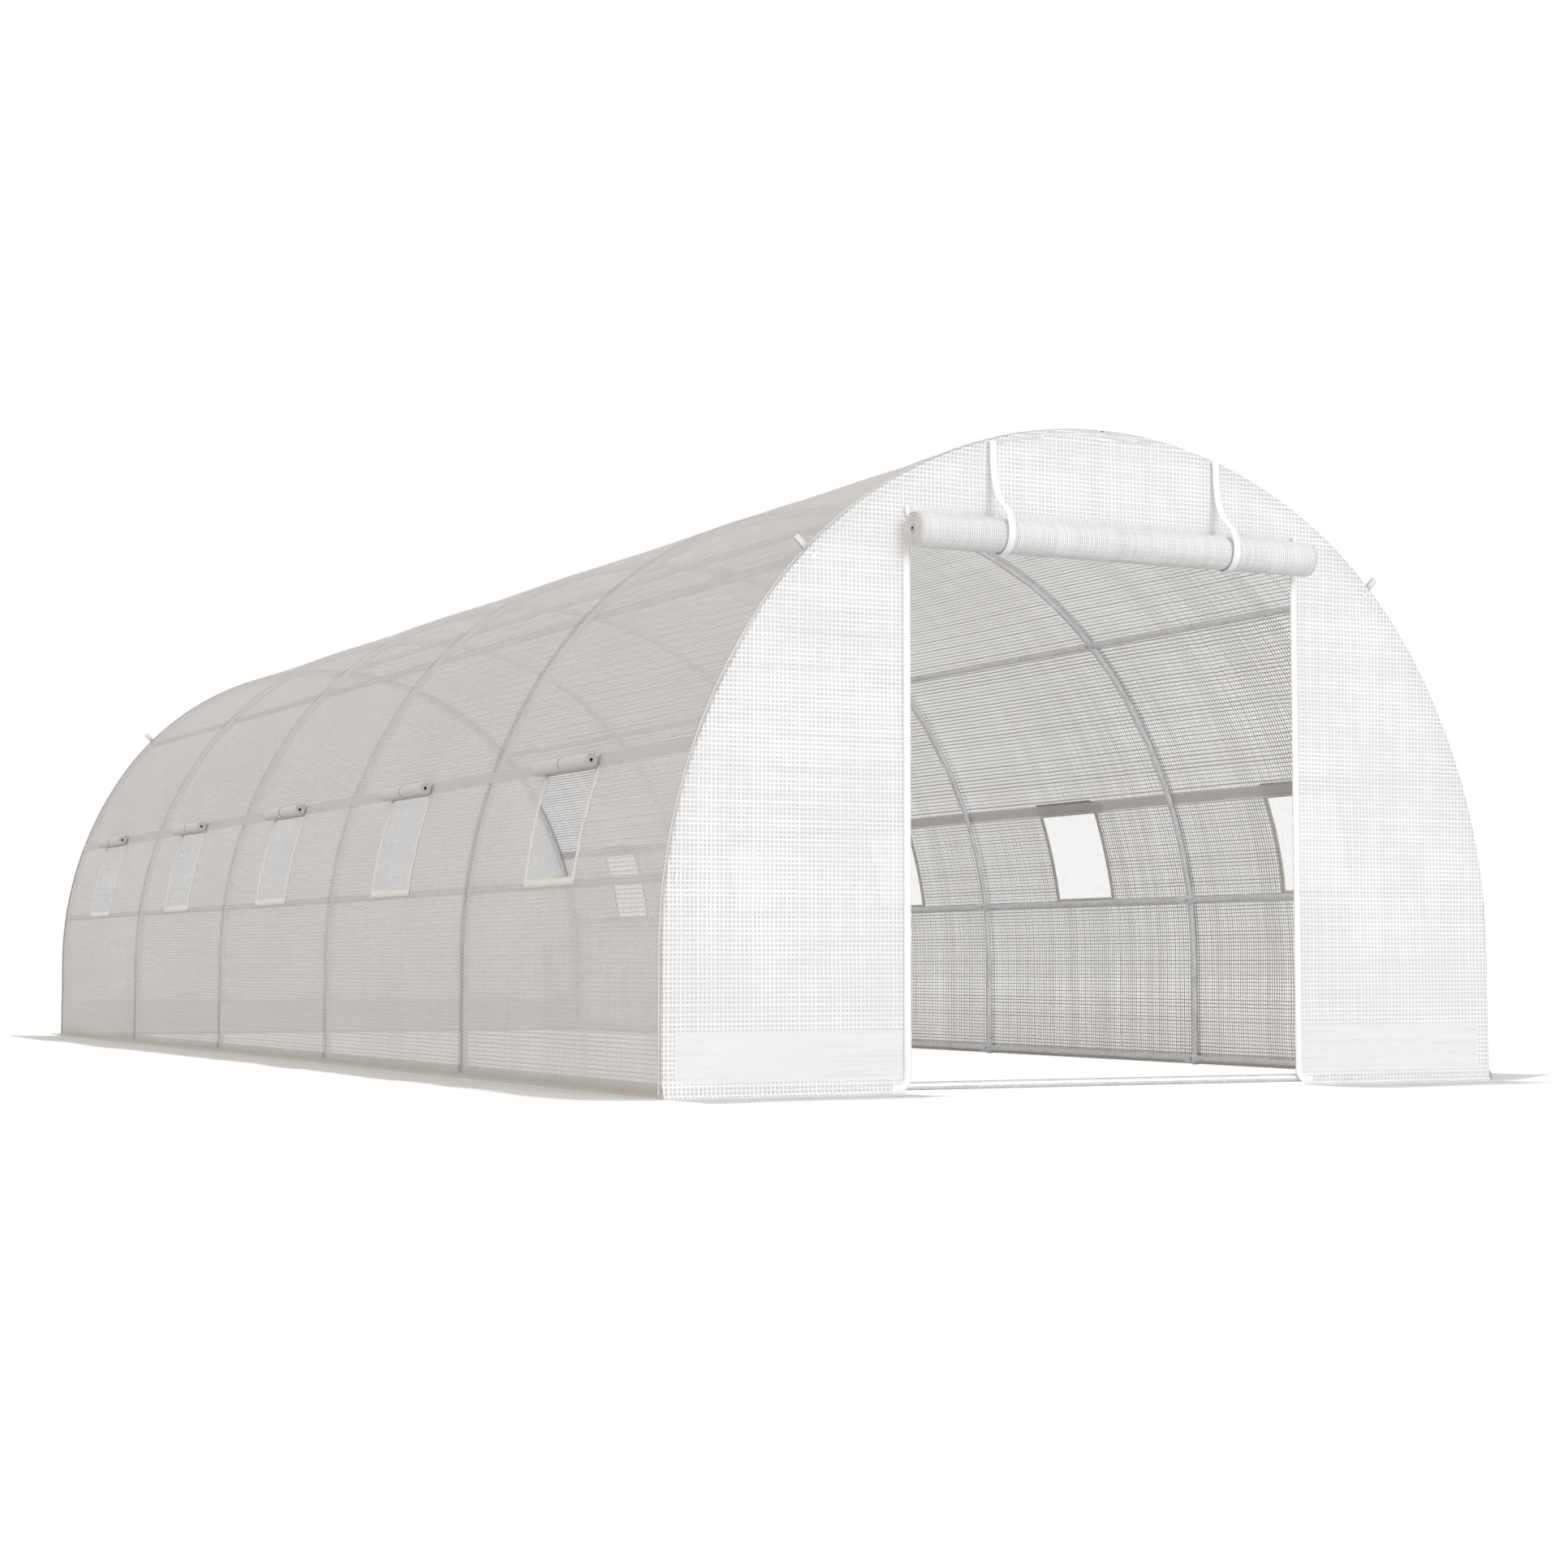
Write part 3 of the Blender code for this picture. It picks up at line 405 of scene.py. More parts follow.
def woven_film(
    name, thread, film, pitch, width, clear=0.52, glow=0.65, foot=None, on_hoops=False, tinted=False
):
    """Milky film over a grid of flat threads: threads opaque, the film between them see-through.

    The film is cloudier near the foot, given as its coordinate, its reach and the share of
    clearness left, and clearer where a hoop presses on it. A tinted one, an end panel, turns to
    sewn double cloth with the third weave coordinate and has a pale band over its foot."""
    look = Look(name)
    vector, s, t = look.weave()
    sway = look.times(look.math("SUBTRACT", look.grain(vector, 7.0), 0.5), 0.12)
    along_y = look.line(s, pitch[0], width[0], 0.05, sway)
    along_s = look.line(t, pitch[1], width[1], 0.05, sway)
    grid = look.most(along_y, along_s)
    covered = grid
    fine = look.grain(vector, 420.0, 3.0, 0.6)
    tone = look.fit(look.grain(vector, 2.3, 3.0, 0.55), 0.3, 0.7, 0, 1)
    wrinkle = look.plus(look.streaks(vector, 0.85, 26, 2.2), look.streaks(vector, -0.5, 18, 2))
    threads = look.blend(tone, shade(thread, 0.93), thread)
    cells = look.blend(tone, shade(film, 0.96), film)
    if foot:
        foot_line, foot_reach, foot_share = foot
        off_foot = look.away(s, foot_line)
    if tinted:
        under, over = look.fit(off_foot, 0.187, 0.193, 1, 0), look.fit(off_foot, 0.045, 0.05, 0, 1)
        inside = look.fit(look.math("ABSOLUTE", t), 1.445, 1.452, 1, 0)
        pale = look.times(look.times(under, over), inside)
        covered = look.most(grid, look.times(pale, 0.93))
        threads = look.blend(look.times(pale, 0.9), threads, (0.82, 0.828, 0.845))
        threads = look.blend(look.third, threads, (0.93, 0.925, 0.92))
        cells = look.blend(look.third, cells, (0.80, 0.79, 0.78))
        glow = look.fit(look.third, 0.0, 1.0, glow, 0.1, False)
        clear = look.fit(look.third, 0.0, 0.5, clear, 0.0, False)
    if on_hoops:
        wrinkle = look.times(wrinkle, look.fit(t, -3.3, -2.4, 1.0, 0.25))
        first, second, last = HOOPS[3:]
        run = look.math("ABSOLUTE", t)
        inner = look.away(look.away(run, (first + second) / 2), (second - first) / 2)
        off_hoop = look.math("MINIMUM", inner, look.away(run, last))
        # Painted shade: within about 2 cm of each hoop's line the film's cells and threads are darkened,
        # wider than the tube itself, standing in for the hoop's shade on the film.
        band = look.fit(off_hoop, 0.019, 0.023, 1, 0)
        # Painted highlight: the film's cells turn white along each tube's edges, standing in for the
        # tube's glint seen through the film.
        painted_highlight = look.fit(look.away(off_hoop, TUBE_R), 0.0008, 0.0024, 0.75, 0)
        cells = look.blend(band, cells, shade(film, 0.60))
        cells = look.blend(painted_highlight, cells, (1.0, 1.0, 1.0))
        threads = look.blend(band, threads, shade(thread, 0.78))
    height = look.plus(grid, look.times(look.times(along_y, along_s), 0.4))
    normal = look.bump(look.plus(height, look.times(fine, 0.25)), 0.0005, 0.6)
    normal = look.bump(look.grain(vector, 16.0, 3.0, 0.55), 0.010, 0.25, normal)
    normal = look.bump(wrinkle, 0.011, 0.8, normal)
    rough = look.fit(fine, 0.3, 0.7, 0.42, 0.60, False)
    clearness = look.times(look.fit(tone, 0.0, 1.0, 0.90, 1.10, False), clear)
    if foot:
        soft = 0.03 if tinted else 0.09
        # Cloudier film towards the foot.
        foot_cloud = look.fit(off_foot, foot_reach, foot_reach + soft, foot_share, 1.0)
        clearness = look.times(clearness, foot_cloud)
    if on_hoops:
        clearness = look.plus(clearness, look.fit(off_hoop, 0.001, 0.005, 0.4, 0.0))
    milk = look.mix(clearness, look.cloth(glow, cells, rough, normal), look.open())
    return look.done(look.mix(covered, milk, look.cloth(0.06, threads, rough, normal)))


def tie_band(name, colour):
    """The tape round a rolled flap, with a dark line along its far edge."""
    look = Look(name)
    _, s, t = look.weave()
    # A near-black line along the tape's far edge.
    dark_line = look.fit(t, 0.0030, 0.0036, 0, 1)
    ribs = look.line(s, 0.0018, 0.6, 0.2)
    tint = look.blend(look.times(ribs, 0.2), colour, shade(colour, 0.9))
    tint = look.blend(dark_line, tint, (0.10, 0.10, 0.10))
    normal = look.bump(look.plus(ribs, look.times(dark_line, 2.0)), 0.0003, 0.6)
    return look.done(look.body(tint, 0.6, normal))


def double_cloth(name, colour, glow=0.12, grid_depth=0.10):
    """Sewn layers of the same cloth: its grid is only pressed in, and little light comes through."""
    look = Look(name)
    vector, s, t = look.weave()
    grid = look.most(look.line(s, WALL_PITCH[0], 0.4, 0.08), look.line(t, WALL_PITCH[1], 0.4, 0.08))
    fine = look.grain(vector, 300.0, 3.0, 0.6)
    tint = look.blend(look.times(grid, grid_depth), colour, shade(colour, 0.8))
    cloud = look.grain(vector, 5.0, 3.0, 0.55)
    tint = look.blend(look.fit(cloud, 0.3, 0.75, 0.0, 0.22), tint, shade(colour, 0.86))
    normal = look.bump(look.plus(look.times(grid, 0.6), look.times(fine, 0.5)), 0.0004, 0.6)
    normal = look.bump(look.grain(vector, 14.0, 3.0, 0.5), 0.008, 0.25, normal)
    return look.done(look.cloth(glow, tint, 0.6, normal))


def webbing(name, colour, edge=0.011, glow=0.10):
    """A woven tape: fine ribs across it, a sewn line near each edge."""
    look = Look(name)
    vector, s, t = look.weave()
    ribs = look.line(s, 0.0016, 0.6, 0.2)
    wales = look.line(t, 0.0022, 0.6, 0.25)
    seam = look.away(look.math("ABSOLUTE", t), edge - 0.003)
    seam = look.fit(seam, 0.0004, 0.0008, 1.0, 0.0)
    dash = look.fit(look.math("FRACT", look.math("DIVIDE", s, 0.0042)), 0.2, 0.3, 0, 1)
    stitch = look.times(seam, dash)
    tint = look.blend(look.times(ribs, 0.3), colour, shade(colour, 0.93))
    tint = look.blend(look.times(stitch, 0.5), tint, shade(colour, 0.80))
    normal = look.bump(look.plus(look.times(ribs, wales), look.times(seam, -0.8)), 0.0004, 0.7)
    rough = look.fit(look.grain(vector, 90.0), 0.3, 0.7, 0.58, 0.74, False)
    return look.done(look.cloth(glow, tint, rough, normal))


def netting(name, colour, pitch, width):
    """A fine insect net: thin threads, open between them."""
    look = Look(name)
    vector, s, t = look.weave()
    lean = look.plus(s, look.times(t, 0.18))
    grid = look.most(look.line(lean, pitch, width, 0.09), look.line(t, pitch, width, 0.09))
    normal = look.bump(grid, 0.0003, 0.5)
    tint = look.blend(look.grain(vector, 30.0), colour, shade(colour, 0.85))
    share = look.fit(grid, 0.0, 1.0, 0.02, 0.34, False)
    return look.done(look.mix(share, look.open(), look.cloth(0.3, tint, 0.7, normal)))


def galvanised(name):
    """Zinc-coated tube: satin grey with faint spangle, drawn streaks and duller patches, and painted
    shade where it turns away from view.
    """
    look = Look(name)
    place = look.place()
    flakes = look.node("ShaderNodeTexVoronoi", {"Vector": place, "Scale": 95.0})
    tone = look.node("ShaderNodeSeparateColor", {"Color": flakes.outputs["Color"]}).outputs[0]
    dull = look.fit(look.grain(place, 9.0, 4.0, 0.6), 0.45, 0.7, 0.0, 0.45)
    streak = look.grain(place, 60.0, 3.0, 0.6)
    colour = look.blend(tone, (0.78, 0.782, 0.785), (0.90, 0.902, 0.905))
    colour = look.blend(dull, colour, (0.62, 0.622, 0.625))
    rough = look.fit(streak, 0.3, 0.7, 0.32, 0.48, False)
    normal = look.bump(look.grain(place, 700.0, 2.0), 0.0002, 0.35)
    # Painted shade: the tube's colour turns dark grey where its face turns away from view, standing in
    # for the shading of a round tube.
    edge = look.node("ShaderNodeLayerWeight", {"Blend": 0.35}).outputs["Facing"]
    colour = look.blend(look.fit(edge, 0.40, 0.85, 0.0, 0.8), colour, (0.30, 0.302, 0.305))
    return look.done(look.body(colour, rough, normal, 0.60))


def coated_metal(name, colour):
    """A small die-cast piece with a painted, lightly worn face."""
    look = Look(name)
    place = look.place()
    worn = look.fit(look.grain(place, 260.0, 4.0, 0.6), 0.62, 0.72, 0.0, 0.6)
    tint = look.blend(worn, colour, shade(colour, 0.7))
    normal = look.bump(look.grain(place, 900.0, 2.0), 0.0002, 0.3)
    rough = look.fit(look.grain(place, 140.0), 0.3, 0.7, 0.28, 0.42, False)
    return look.done(look.body(tint, rough, normal, 0.15))


# Painted shade: the threads of the side walls get a darker grey than the white threads of the same cloth
# on the end panels, standing in for the shade on the sides away from the front light.
SHADED_COVER_THREAD, COVER_FILM = (0.62, 0.605, 0.59), (1.0, 0.99, 0.975)
PANEL_THREAD, PANEL_WHITE = (0.95, 0.957, 0.967), (0.945, 0.952, 0.962)
# Painted shade: the roof's threads are likewise a darker grey than the end panels' threads, standing in
# for the shade on the roof.
ROOF = woven_film(
    "roof_film", (0.57, 0.556, 0.54), (0.955, 0.938, 0.918), ROOF_PITCH, (0.26, 0.36), on_hoops=True
)
WALL_LOOK = (SHADED_COVER_THREAD, COVER_FILM, WALL_PITCH, (0.25, 0.44))
WALLS = {
    side: woven_film(
        f"wall_film_{side}", *WALL_LOOK, foot=(sign * FOOT_LINE, 0.16, 0.55), on_hoops=True
    )
    for side, sign in SIDES
}
PANEL_FOOT = (0.0, 0.16, 0.2)
PANEL = woven_film(
    "end_film", PANEL_THREAD, PANEL_WHITE, PANEL_PITCH, (0.34, 0.34), 0.18, 0.47, PANEL_FOOT, tinted=True
)
DOOR = woven_film(
    "door_film", (0.98, 0.98, 0.985), (0.76, 0.765, 0.775), (0.0136, 0.0076), (0.08, 0.52), 0.05, 0.3
)
SEAM_LOOK = double_cloth("sewn_double_cloth", (0.78, 0.765, 0.75), 0.38, 0.4)
HEM_LOOK = double_cloth("sewn_hem", (0.76, 0.73, 0.70), 0.4, 0.2)
GROUND = double_cloth("ground_flap_film", (0.86, 0.85, 0.835), 0.2, 0.05)
FRONT_GROUND = double_cloth("front_flap_film", (0.80, 0.80, 0.80), 0.2, 0.12)
# Painted shade: the rolled window flaps are a darker grey than the same flap cloth unrolled on the next
# line, standing in for the shade on the rolls.
SHADED_ROLL_FILM = double_cloth("window_roll_shaded_film", (0.71, 0.70, 0.69), 0.1, 0.12)
FLAP_FILM = double_cloth("unrolled_flap_film", (0.88, 0.87, 0.855), 0.5, 0.12)
ROLL_BAND = tie_band("window_tie_band", (0.82, 0.81, 0.795))
BINDING = webbing("window_binding", (0.99, 0.97, 0.94), 0.0120, 0.22)
LOOP = webbing("guy_loop_webbing", (0.80, 0.80, 0.80), 0.0095, 0.03)
ROLL_END = double_cloth("door_roll_end", (0.99, 0.97, 0.945), 0.1, 0.0)
STRAP = webbing("white_strap", (0.99, 0.99, 0.99), 0.0130, 0.03)
TAPE = webbing("zip_tape", (0.99, 0.99, 0.99), 0.0125, 0.03)
# Painted shade: a dark tape laid inside the cover along each window flap's sewn line, standing in for
# the rolled flap's shade seen through the cloth.
SHADE_TAPE = webbing("painted_shade_strip", (0.42, 0.415, 0.41), 0.0060)
# Painted shade: the innermost turn of each roll is near black, standing in for the shade in the roll's
# hollow core.
ROLL_CORE_SHADE = double_cloth("roll_core_painted_shade", (0.10, 0.10, 0.10), 0.0)
NET = netting("window_net", (0.70, 0.71, 0.72), 0.0060, 0.30)
STEEL = galvanised("galvanised_tube")
SLIDER = coated_metal("zip_slider", (0.86, 0.86, 0.87))
BOLT = coated_metal("zinc_bolt", (0.62, 0.62, 0.63))


# Cover


def cover_piece(name, a_marks, y_marks, offset, looks, step=0.028, keep=None, look_of=None):
    """Part of the cover between marks along the arch and along the tunnel."""
    a, y = breaks(a_marks, step), breaks(y_marks, step)
    aa, yy = crossed(a, y)
    x, z, nx, nz = arch(aa, offset)
    lift = cover_lift(aa, yy)
    points = together(x + nx * lift, yy, z + nz * lift)
    middle = crossed((a[:-1] + a[1:]) / 2, (y[:-1] + y[1:]) / 2)
    keep = keep(*middle) if keep else None
    look_of = look_of(*middle) if look_of else None
    return surface(name, points, together(aa, yy), looks, keep, look_of)


SEAM_LOW = along(SEAM) + SEAM_LAP / 2
SEAM_HIGH = along(SEAM) - SEAM_LAP / 2
FOOT = along(HEM)


def window_span(offset=WALL_MID):
    return along(WINDOW_HIGH, offset), along(WINDOW_LOW, offset)


def build_roof():
    made = cover_piece(
        "roof_cloth",
        [-SEAM_LOW, -SEAM_HIGH, 0.0, SEAM_HIGH, SEAM_LOW],
        [-COVER_END, COVER_END],
        ROOF_MID,
        [ROOF, SEAM_LOOK],
        look_of=lambda a, y: (np.abs(a) > SEAM_HIGH).astype(int),
    )
    stand_for(made, "cover_roof")


def opening(side, a, y):
    """Where a side wall has its windows."""
    high, low = window_span()
    inside = nearest(y, WINDOWS[side]) < WINDOW_WIDTH / 2
    return inside & (np.abs(a) > high) & (np.abs(a) < low)


def build_binding(side, sign, number, y):
    """The sewn ivory edging round a window, on the outside, wider along its sill."""
    high, low = window_span()
    half, wide, inner = WINDOW_WIDTH / 2, 0.026, 0.006
    sill, head = 0.021, 0.004
    a_marks = [high - head, low - inner, low + sill]
    y_marks = [y - half - wide + inner, y - half + inner, y + half - inner, y + half + wide - inner]
    return cover_piece(
        f"window_binding_{side}_{number}",
        [sign * a for a in a_marks],
        y_marks,
        WALL_MID + CLOTH / 2 + GAP,
        [BINDING],
        0.018,
        keep=lambda a, yy: (np.abs(yy - y) > half - inner) | (np.abs(a) > low - inner),
    )


def build_walls():
    high, low = window_span()
    hem_line = along(HEM_BAND)
    for side, sign in SIDES:
        edges = sorted(y + s * WINDOW_WIDTH / 2 for y in WINDOWS[side] for s in (-1, 1))
        made = cover_piece(
            f"wall_cloth_{side}",
            [sign * a for a in (SEAM_HIGH, SEAM_LOW, high, low, hem_line, FOOT)],
            [-COVER_END, *edges, COVER_END],
            WALL_MID,
            [WALLS[side], SEAM_LOOK, HEM_LOOK],
            step=0.018,
            keep=lambda a, y: ~opening(side, a, y),
            look_of=lambda a, y: (np.abs(a) < SEAM_LOW) + 2 * (np.abs(a) > hem_line),
        )
        stand_for(made, f"cover_wall_{side}")
        for number, y in enumerate(WINDOWS[side], 1):
            trim = thicken(build_binding(side, sign, number, y), 0.0008, -sign)
            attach(trim, "root")


def build_nets():
    """Insect nets sewn behind the windows."""
    high, low = window_span()
    half = WINDOW_WIDTH / 2 + NET_LAP
    for side, sign in SIDES:
        a_marks = [sign * (high - NET_LAP), sign * (low + NET_LAP)]
        for number, y in enumerate(WINDOWS[side], 1):
            name = f"window_screen_{side}_{number}"
            made = cover_piece(name, a_marks, [y - half, y + half], NET_MID, [NET], 0.03)
            stand_for(made, f"window_net_{side}_{number}")


def half_width(z):
    """Half the width of an end panel's flat face at a height."""
    a = np.array([along(min(float(h), HEIGHT + 0.0145), PANEL_EDGE) for h in np.ravel(z)])
    return arch(a, PANEL_EDGE)[0].reshape(np.shape(z))


def door_edge(z, width, side):
    """The doorway's edge on a side, from the middle: rounded out at the ground."""
    low = np.clip(JAMB_RADIUS - (z - HEM), 0, JAMB_RADIUS)
    edge = DOOR_HALF + side * DOOR_CENTRE
    half = edge + JAMB_RADIUS - np.sqrt(JAMB_RADIUS**2 - low**2)
    at_top = half_width(np.array([DOOR_TOP]))[0]
    return np.where(z > DOOR_TOP + 1e-6, width * edge / at_top, half)


def panel_lift(x, z, edge, jamb):
    """How far an end panel stands in or out: soft creases, held flat where it is fixed."""
    crease = folds(x * 2.4 + z * 2.0 + 40, z * 2.2 - x * 1.3 + 40, 21)
    small = folds(x * 5.5 - z * 3.5 + 7, z * 5.0 + x * 3.0 + 7, 23)
    broad = noise(x * 1.7 + 9, z * 1.5 + 9, 25)
    lift = -0.0050 * crease - 0.0022 * small + 0.0025 * broad
    fixed = np.clip(near(edge, (0.0,), 0.030) + near(z, (0.0,), 0.05), 0, 1)
    if jamb is not None:
        beside = np.clip(1.3 * near(jamb, (0.0,), 0.035), 0, 1) * (z < DOOR_TOP + 0.05)
        behind = near(z, (DOOR_ROLL_UP,), 0.075) * (np.abs(x) < 0.85)
        fixed = np.clip(fixed + beside + behind, 0, 1)
    return lift * (1 - fixed)


def end_panel(name, sign, with_door):
    """An end of the cover: rows up its height, its rim folded back over the roof's edge."""
    marks = [HEM, 0.02, 0.05, 0.12, DOOR_TOP, DOOR_SHEET_TOP, 2.0]
    z = np.concatenate([breaks(marks[:4], 0.009), breaks(marks[3:], 0.024)[1:]])
    crown = HEIGHT + PANEL_EDGE
    z = np.concatenate([z, crown - (crown - 2.0) * np.linspace(1, 0, 14)[1:] ** 2])
    z[-1] -= 1e-5
    a = np.array([along(float(h), PANEL_EDGE) for h in z])
    outer = arch(a, PANEL_EDGE - RIM)
    width = np.maximum(outer[0], 1e-4)
    rows, jambs = [], []
    turns = np.linspace(0, math.pi / 2, 5)[1:]
    side, middle = np.linspace(0, 1, 34), np.linspace(-1, 1, 45)
    for i, height in enumerate(outer[1]):
        if with_door:
            low, high = (float(door_edge(np.array(z[i]), width[i], s)) for s in (-1, 1))
        else:
            low = high = width[i] * 0.742
        left = -width[i] + (width[i] - low) * side
        right = width[i] - (width[i] - high) * side[::-1]
        inside = (high - low) / 2 + (high + low) / 2 * middle[1:-1]
        x = np.concatenate([left, inside, right])
        rows.append(together(x, height))
        jambs.append(np.maximum(-low - x, x - high))
    flat = np.array(rows)
    edge = np.broadcast_to(width[:, None], flat.shape[:2]) - np.abs(flat[..., 0])
    jamb = np.array(jambs) if with_door else None
    depth = PANEL_MID + panel_lift(flat[..., 0], flat[..., 1], edge, jamb)
    points = together(flat[..., 0], sign * depth, flat[..., 1])
    rims = [(RIM * (1 - math.sin(turn)), RIM * (1 - math.cos(turn))) for turn in turns]
    rim_right = []
    for inwards, back in [*rims, (0.0, RIM + RIM_BACK)]:
        x, zz, _, _ = arch(a, PANEL_EDGE - inwards)
        rim_right.append(together(x, sign * (PANEL_MID - back), zz))
    right = np.stack(rim_right, axis=1)
    left = right[:, ::-1] * np.array([-1, 1, 1])
    points = np.concatenate([left, points, right], axis=1)
    reach = len(rim_right)
    count = points.shape[1]
    keep = np.ones((len(z) - 1, count - 1), bool)
    if with_door:
        below = (z[:-1] + z[1:]) / 2 < DOOR_TOP
        beside = reach + len(side) - 1
        keep[below, beside : count - 1 - beside] = False
    turned = np.clip([*(1 - math.pi / 2 + turns), 1.0], 0, 1)
    tint = np.zeros(points.shape[:2])
    tint[:, :reach] = turned[::-1]
    tint[:, count - reach :] = turned
    round_rim = np.array([*(RIM * turns), RIM * math.pi / 2 + RIM_BACK])
    run = points[..., 0].copy()
    run[:, count - reach :] = flat[:, -1:, 0] + round_rim
    run[:, :reach] = flat[:, :1, 0] - round_rim[::-1]
    weave = together(points[..., 2], run, tint)
    return surface(name, points, weave, [PANEL], keep)


def build_panels():
    for name, sign, node, hoop in (
        ("front_panel_cloth", -1, "cover_front_panel", "hoop_1"),
        ("back_panel_cloth", 1, "cover_back_panel", "hoop_6"),
    ):
        made = end_panel(name, sign, sign < 0)
        stand_for(made, node)


def build_jambs():
    """The sewn tape down each side of the doorway, turned outwards at the ground."""
    face = -(PANEL_MID + CLOTH / 2 + GAP + 0.0007)
    half = 0.0125
    inner = JAMB_RADIUS - half
    turns = np.linspace(math.pi, 1.5 * math.pi, 9)[1:]
    for side, sign in SIDES:
        edge = DOOR_HALF + sign * DOOR_CENTRE
        down = [(edge + half, h) for h in breaks([DOOR_TOP - 0.012, HEM + JAMB_RADIUS], 0.03)]
        x, z = edge + JAMB_RADIUS, HEM + JAMB_RADIUS
        down += [(x + inner * math.cos(t), z + inner * math.sin(t)) for t in turns]
        x, z = down[-1]
        down += [(x + more, z) for more in (0.012, 0.024)]
        line = np.array(down)
        way = np.gradient(line, axis=0)
        way /= np.linalg.norm(way, axis=1)[:, None]
        path = together(sign * line[:, 0], face, line[:, 1])
        across = together(sign * -way[:, 1], 0.0, way[:, 0])
        made = strip(f"doorway_tape_{side}", path, across, 2 * half, TAPE, 0.0013)
        stand_for(made, f"door_zip_{side}")


# Rolls


def scroll(core, radius, turns, per_turn, thickness):
    """(out, up, run) of a rolled cloth's middle from its core to its outer edge at out = 0."""
    count = round(turns * per_turn)
    left = (count - np.arange(count + 1)) / per_turn
    outer = radius - thickness / 2
    reach = outer - (outer - core) * left / turns
    angle = math.pi + math.tau * left
    out, up = radius + reach * np.cos(angle), reach * np.sin(angle)
    run = run_of(together(out, up))
    return out, up, run, reach / outer


def on_wall(sign, out, up, turn):
    """(x, z) of a place out from a side arch's centre and up from it, once turned."""
    x = sign * (out * math.cos(turn) - up * math.sin(turn) - SIDE_CENTRE)
    return x, LEG + out * math.sin(turn) + up * math.cos(turn)


def build_window_rolls():
    """The rolled window flaps, squeezed a little under their tapes."""
    thick = 0.0019
    out, up, run, share = scroll(0.0045, WINDOW_ROLL_RADIUS, 8, 20, thick)
    rise = math.asin((WINDOW_ROLL_UP - LEG) / SIDE_RADIUS)
    start = SIDE_RADIUS + ROOF_MID + CLOTH / 2 + GAP
    half = WINDOW_ROLL_LENGTH / 2
    length = breaks([-half, -0.03, -0.008, 0.008, 0.03, half], 0.03)
    for side, sign in SIDES:
        for number, window in enumerate(WINDOWS[side], 1):
            y = window - sign * ROLL_OFF_WINDOW
            seed = number * 7 + (3 if sign > 0 else 0)
            oo, yy = crossed(np.arange(len(out)), length)
            squeeze = 1 - 0.05 * np.exp(-((yy / 0.010) ** 2)) * share[oo]
            squeeze = squeeze - 0.020 * (1 + noise(yy * 9 + seed, share[oo] * 0.5 + seed, seed)) / 2
            slip = 0.0007 * noise(run[oo] * 30 + seed, np.sign(yy) * 3 + 9, seed + 1)
            centre = WINDOW_ROLL_RADIUS
            deep = start + centre + (out[oo] - centre) * squeeze
            x, z = on_wall(sign, deep, up[oo] * squeeze, rise)
            ends = np.abs(yy) > half - 0.001
            points = together(x, y + yy + slip * ends * np.sign(yy), z)
            weave = together(run[oo], yy)
            # The innermost turn gets the near-black painted shade of the roll's hollow.
            name, core = f"window_roll_cloth_{side}_{number}", (oo[:-1, :-1] < 18).astype(int)
            made = surface(name, points, weave, [SHADED_ROLL_FILM, ROLL_CORE_SHADE], look_of=core)
            thicken(made, thick)
            body = f"{side}_window_{number}_flap"
            stand_for(made, f"window_roll_{side}_{number}", body)
            band = window_tie(side, sign, number, y, start, rise)
            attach(band, body)
            window_flap(side, sign, number, y, start, rise)


def window_tie(side, sign, number, y, start, rise):
    """The narrow tape tied round the middle of a rolled flap."""
    turns = np.linspace(math.pi * 1.02, -math.pi * 0.98, 26)
    reach = WINDOW_ROLL_RADIUS + 0.0004
    out = start + WINDOW_ROLL_RADIUS + 0.0006 + reach * np.cos(turns)
    x, z = on_wall(sign, out, reach * np.sin(turns), rise)
    path = together(x, y, z)
    return strip(f"window_tie_{side}_{number}", path, (0, 1, 0), 0.012, ROLL_BAND, 0.0014)


def window_flap(side, sign, number, y, start, rise):
    """The flap's cloth between its sewn line and its roll, built as it hangs at rest; its weave
    coordinates allow for the cloth paid out as the roll goes down.
    """
    half = WINDOW_ROLL_LENGTH / 2 - 0.004
    radius = start + 0.0011 / 2
    top, hold, end = WINDOW_TAIL, 0.0215, 0.0015
    rows = np.concatenate([breaks([top, hold], 0.003), np.linspace(hold, end, 61)[1:]])
    share = ramp(-rows, -hold, -end)
    drop = FLAP_TRAVEL * radius
    yy, rr = crossed(np.linspace(-half, half, 27), rows)
    turn = rise + rr / radius
    seam = along(LEG + SIDE_RADIUS * math.sin(rise))
    lift = cover_lift(sign * (seam - rr), y + yy) * ramp(rr, hold, top)
    reach = radius + lift
    x = sign * (reach * np.cos(turn) - SIDE_CENTRE)
    points = together(x, y + yy, LEG + reach * np.sin(turn))
    run = np.broadcast_to(rows - share * drop, yy.shape)
    weave = together(run, yy)
    made = surface(f"window_flap_cloth_{side}_{number}", points, weave, [FLAP_FILM])
    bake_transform(made)
    # Painted shade: this dark strip inside the cover along the flap's sewn line stands in for the rolled
    # flap's shade seen through the cloth.
    turn = rise + (top + 0.003) / radius
    x, z = on_wall(sign, SIDE_RADIUS + ROOF_MID - CLOTH / 2 - 0.0040, 0, turn)
    path = [(x, y + at, z) for at in np.linspace(-0.17, 0.245, 24)]
    across = (-sign * math.sin(turn), 0, math.cos(turn))
    shade_strip = strip(f"painted_shade_strip_{side}_{number}", path, across, 0.009, SHADE_TAPE, 0.0008)
    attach(shade_strip, "root")


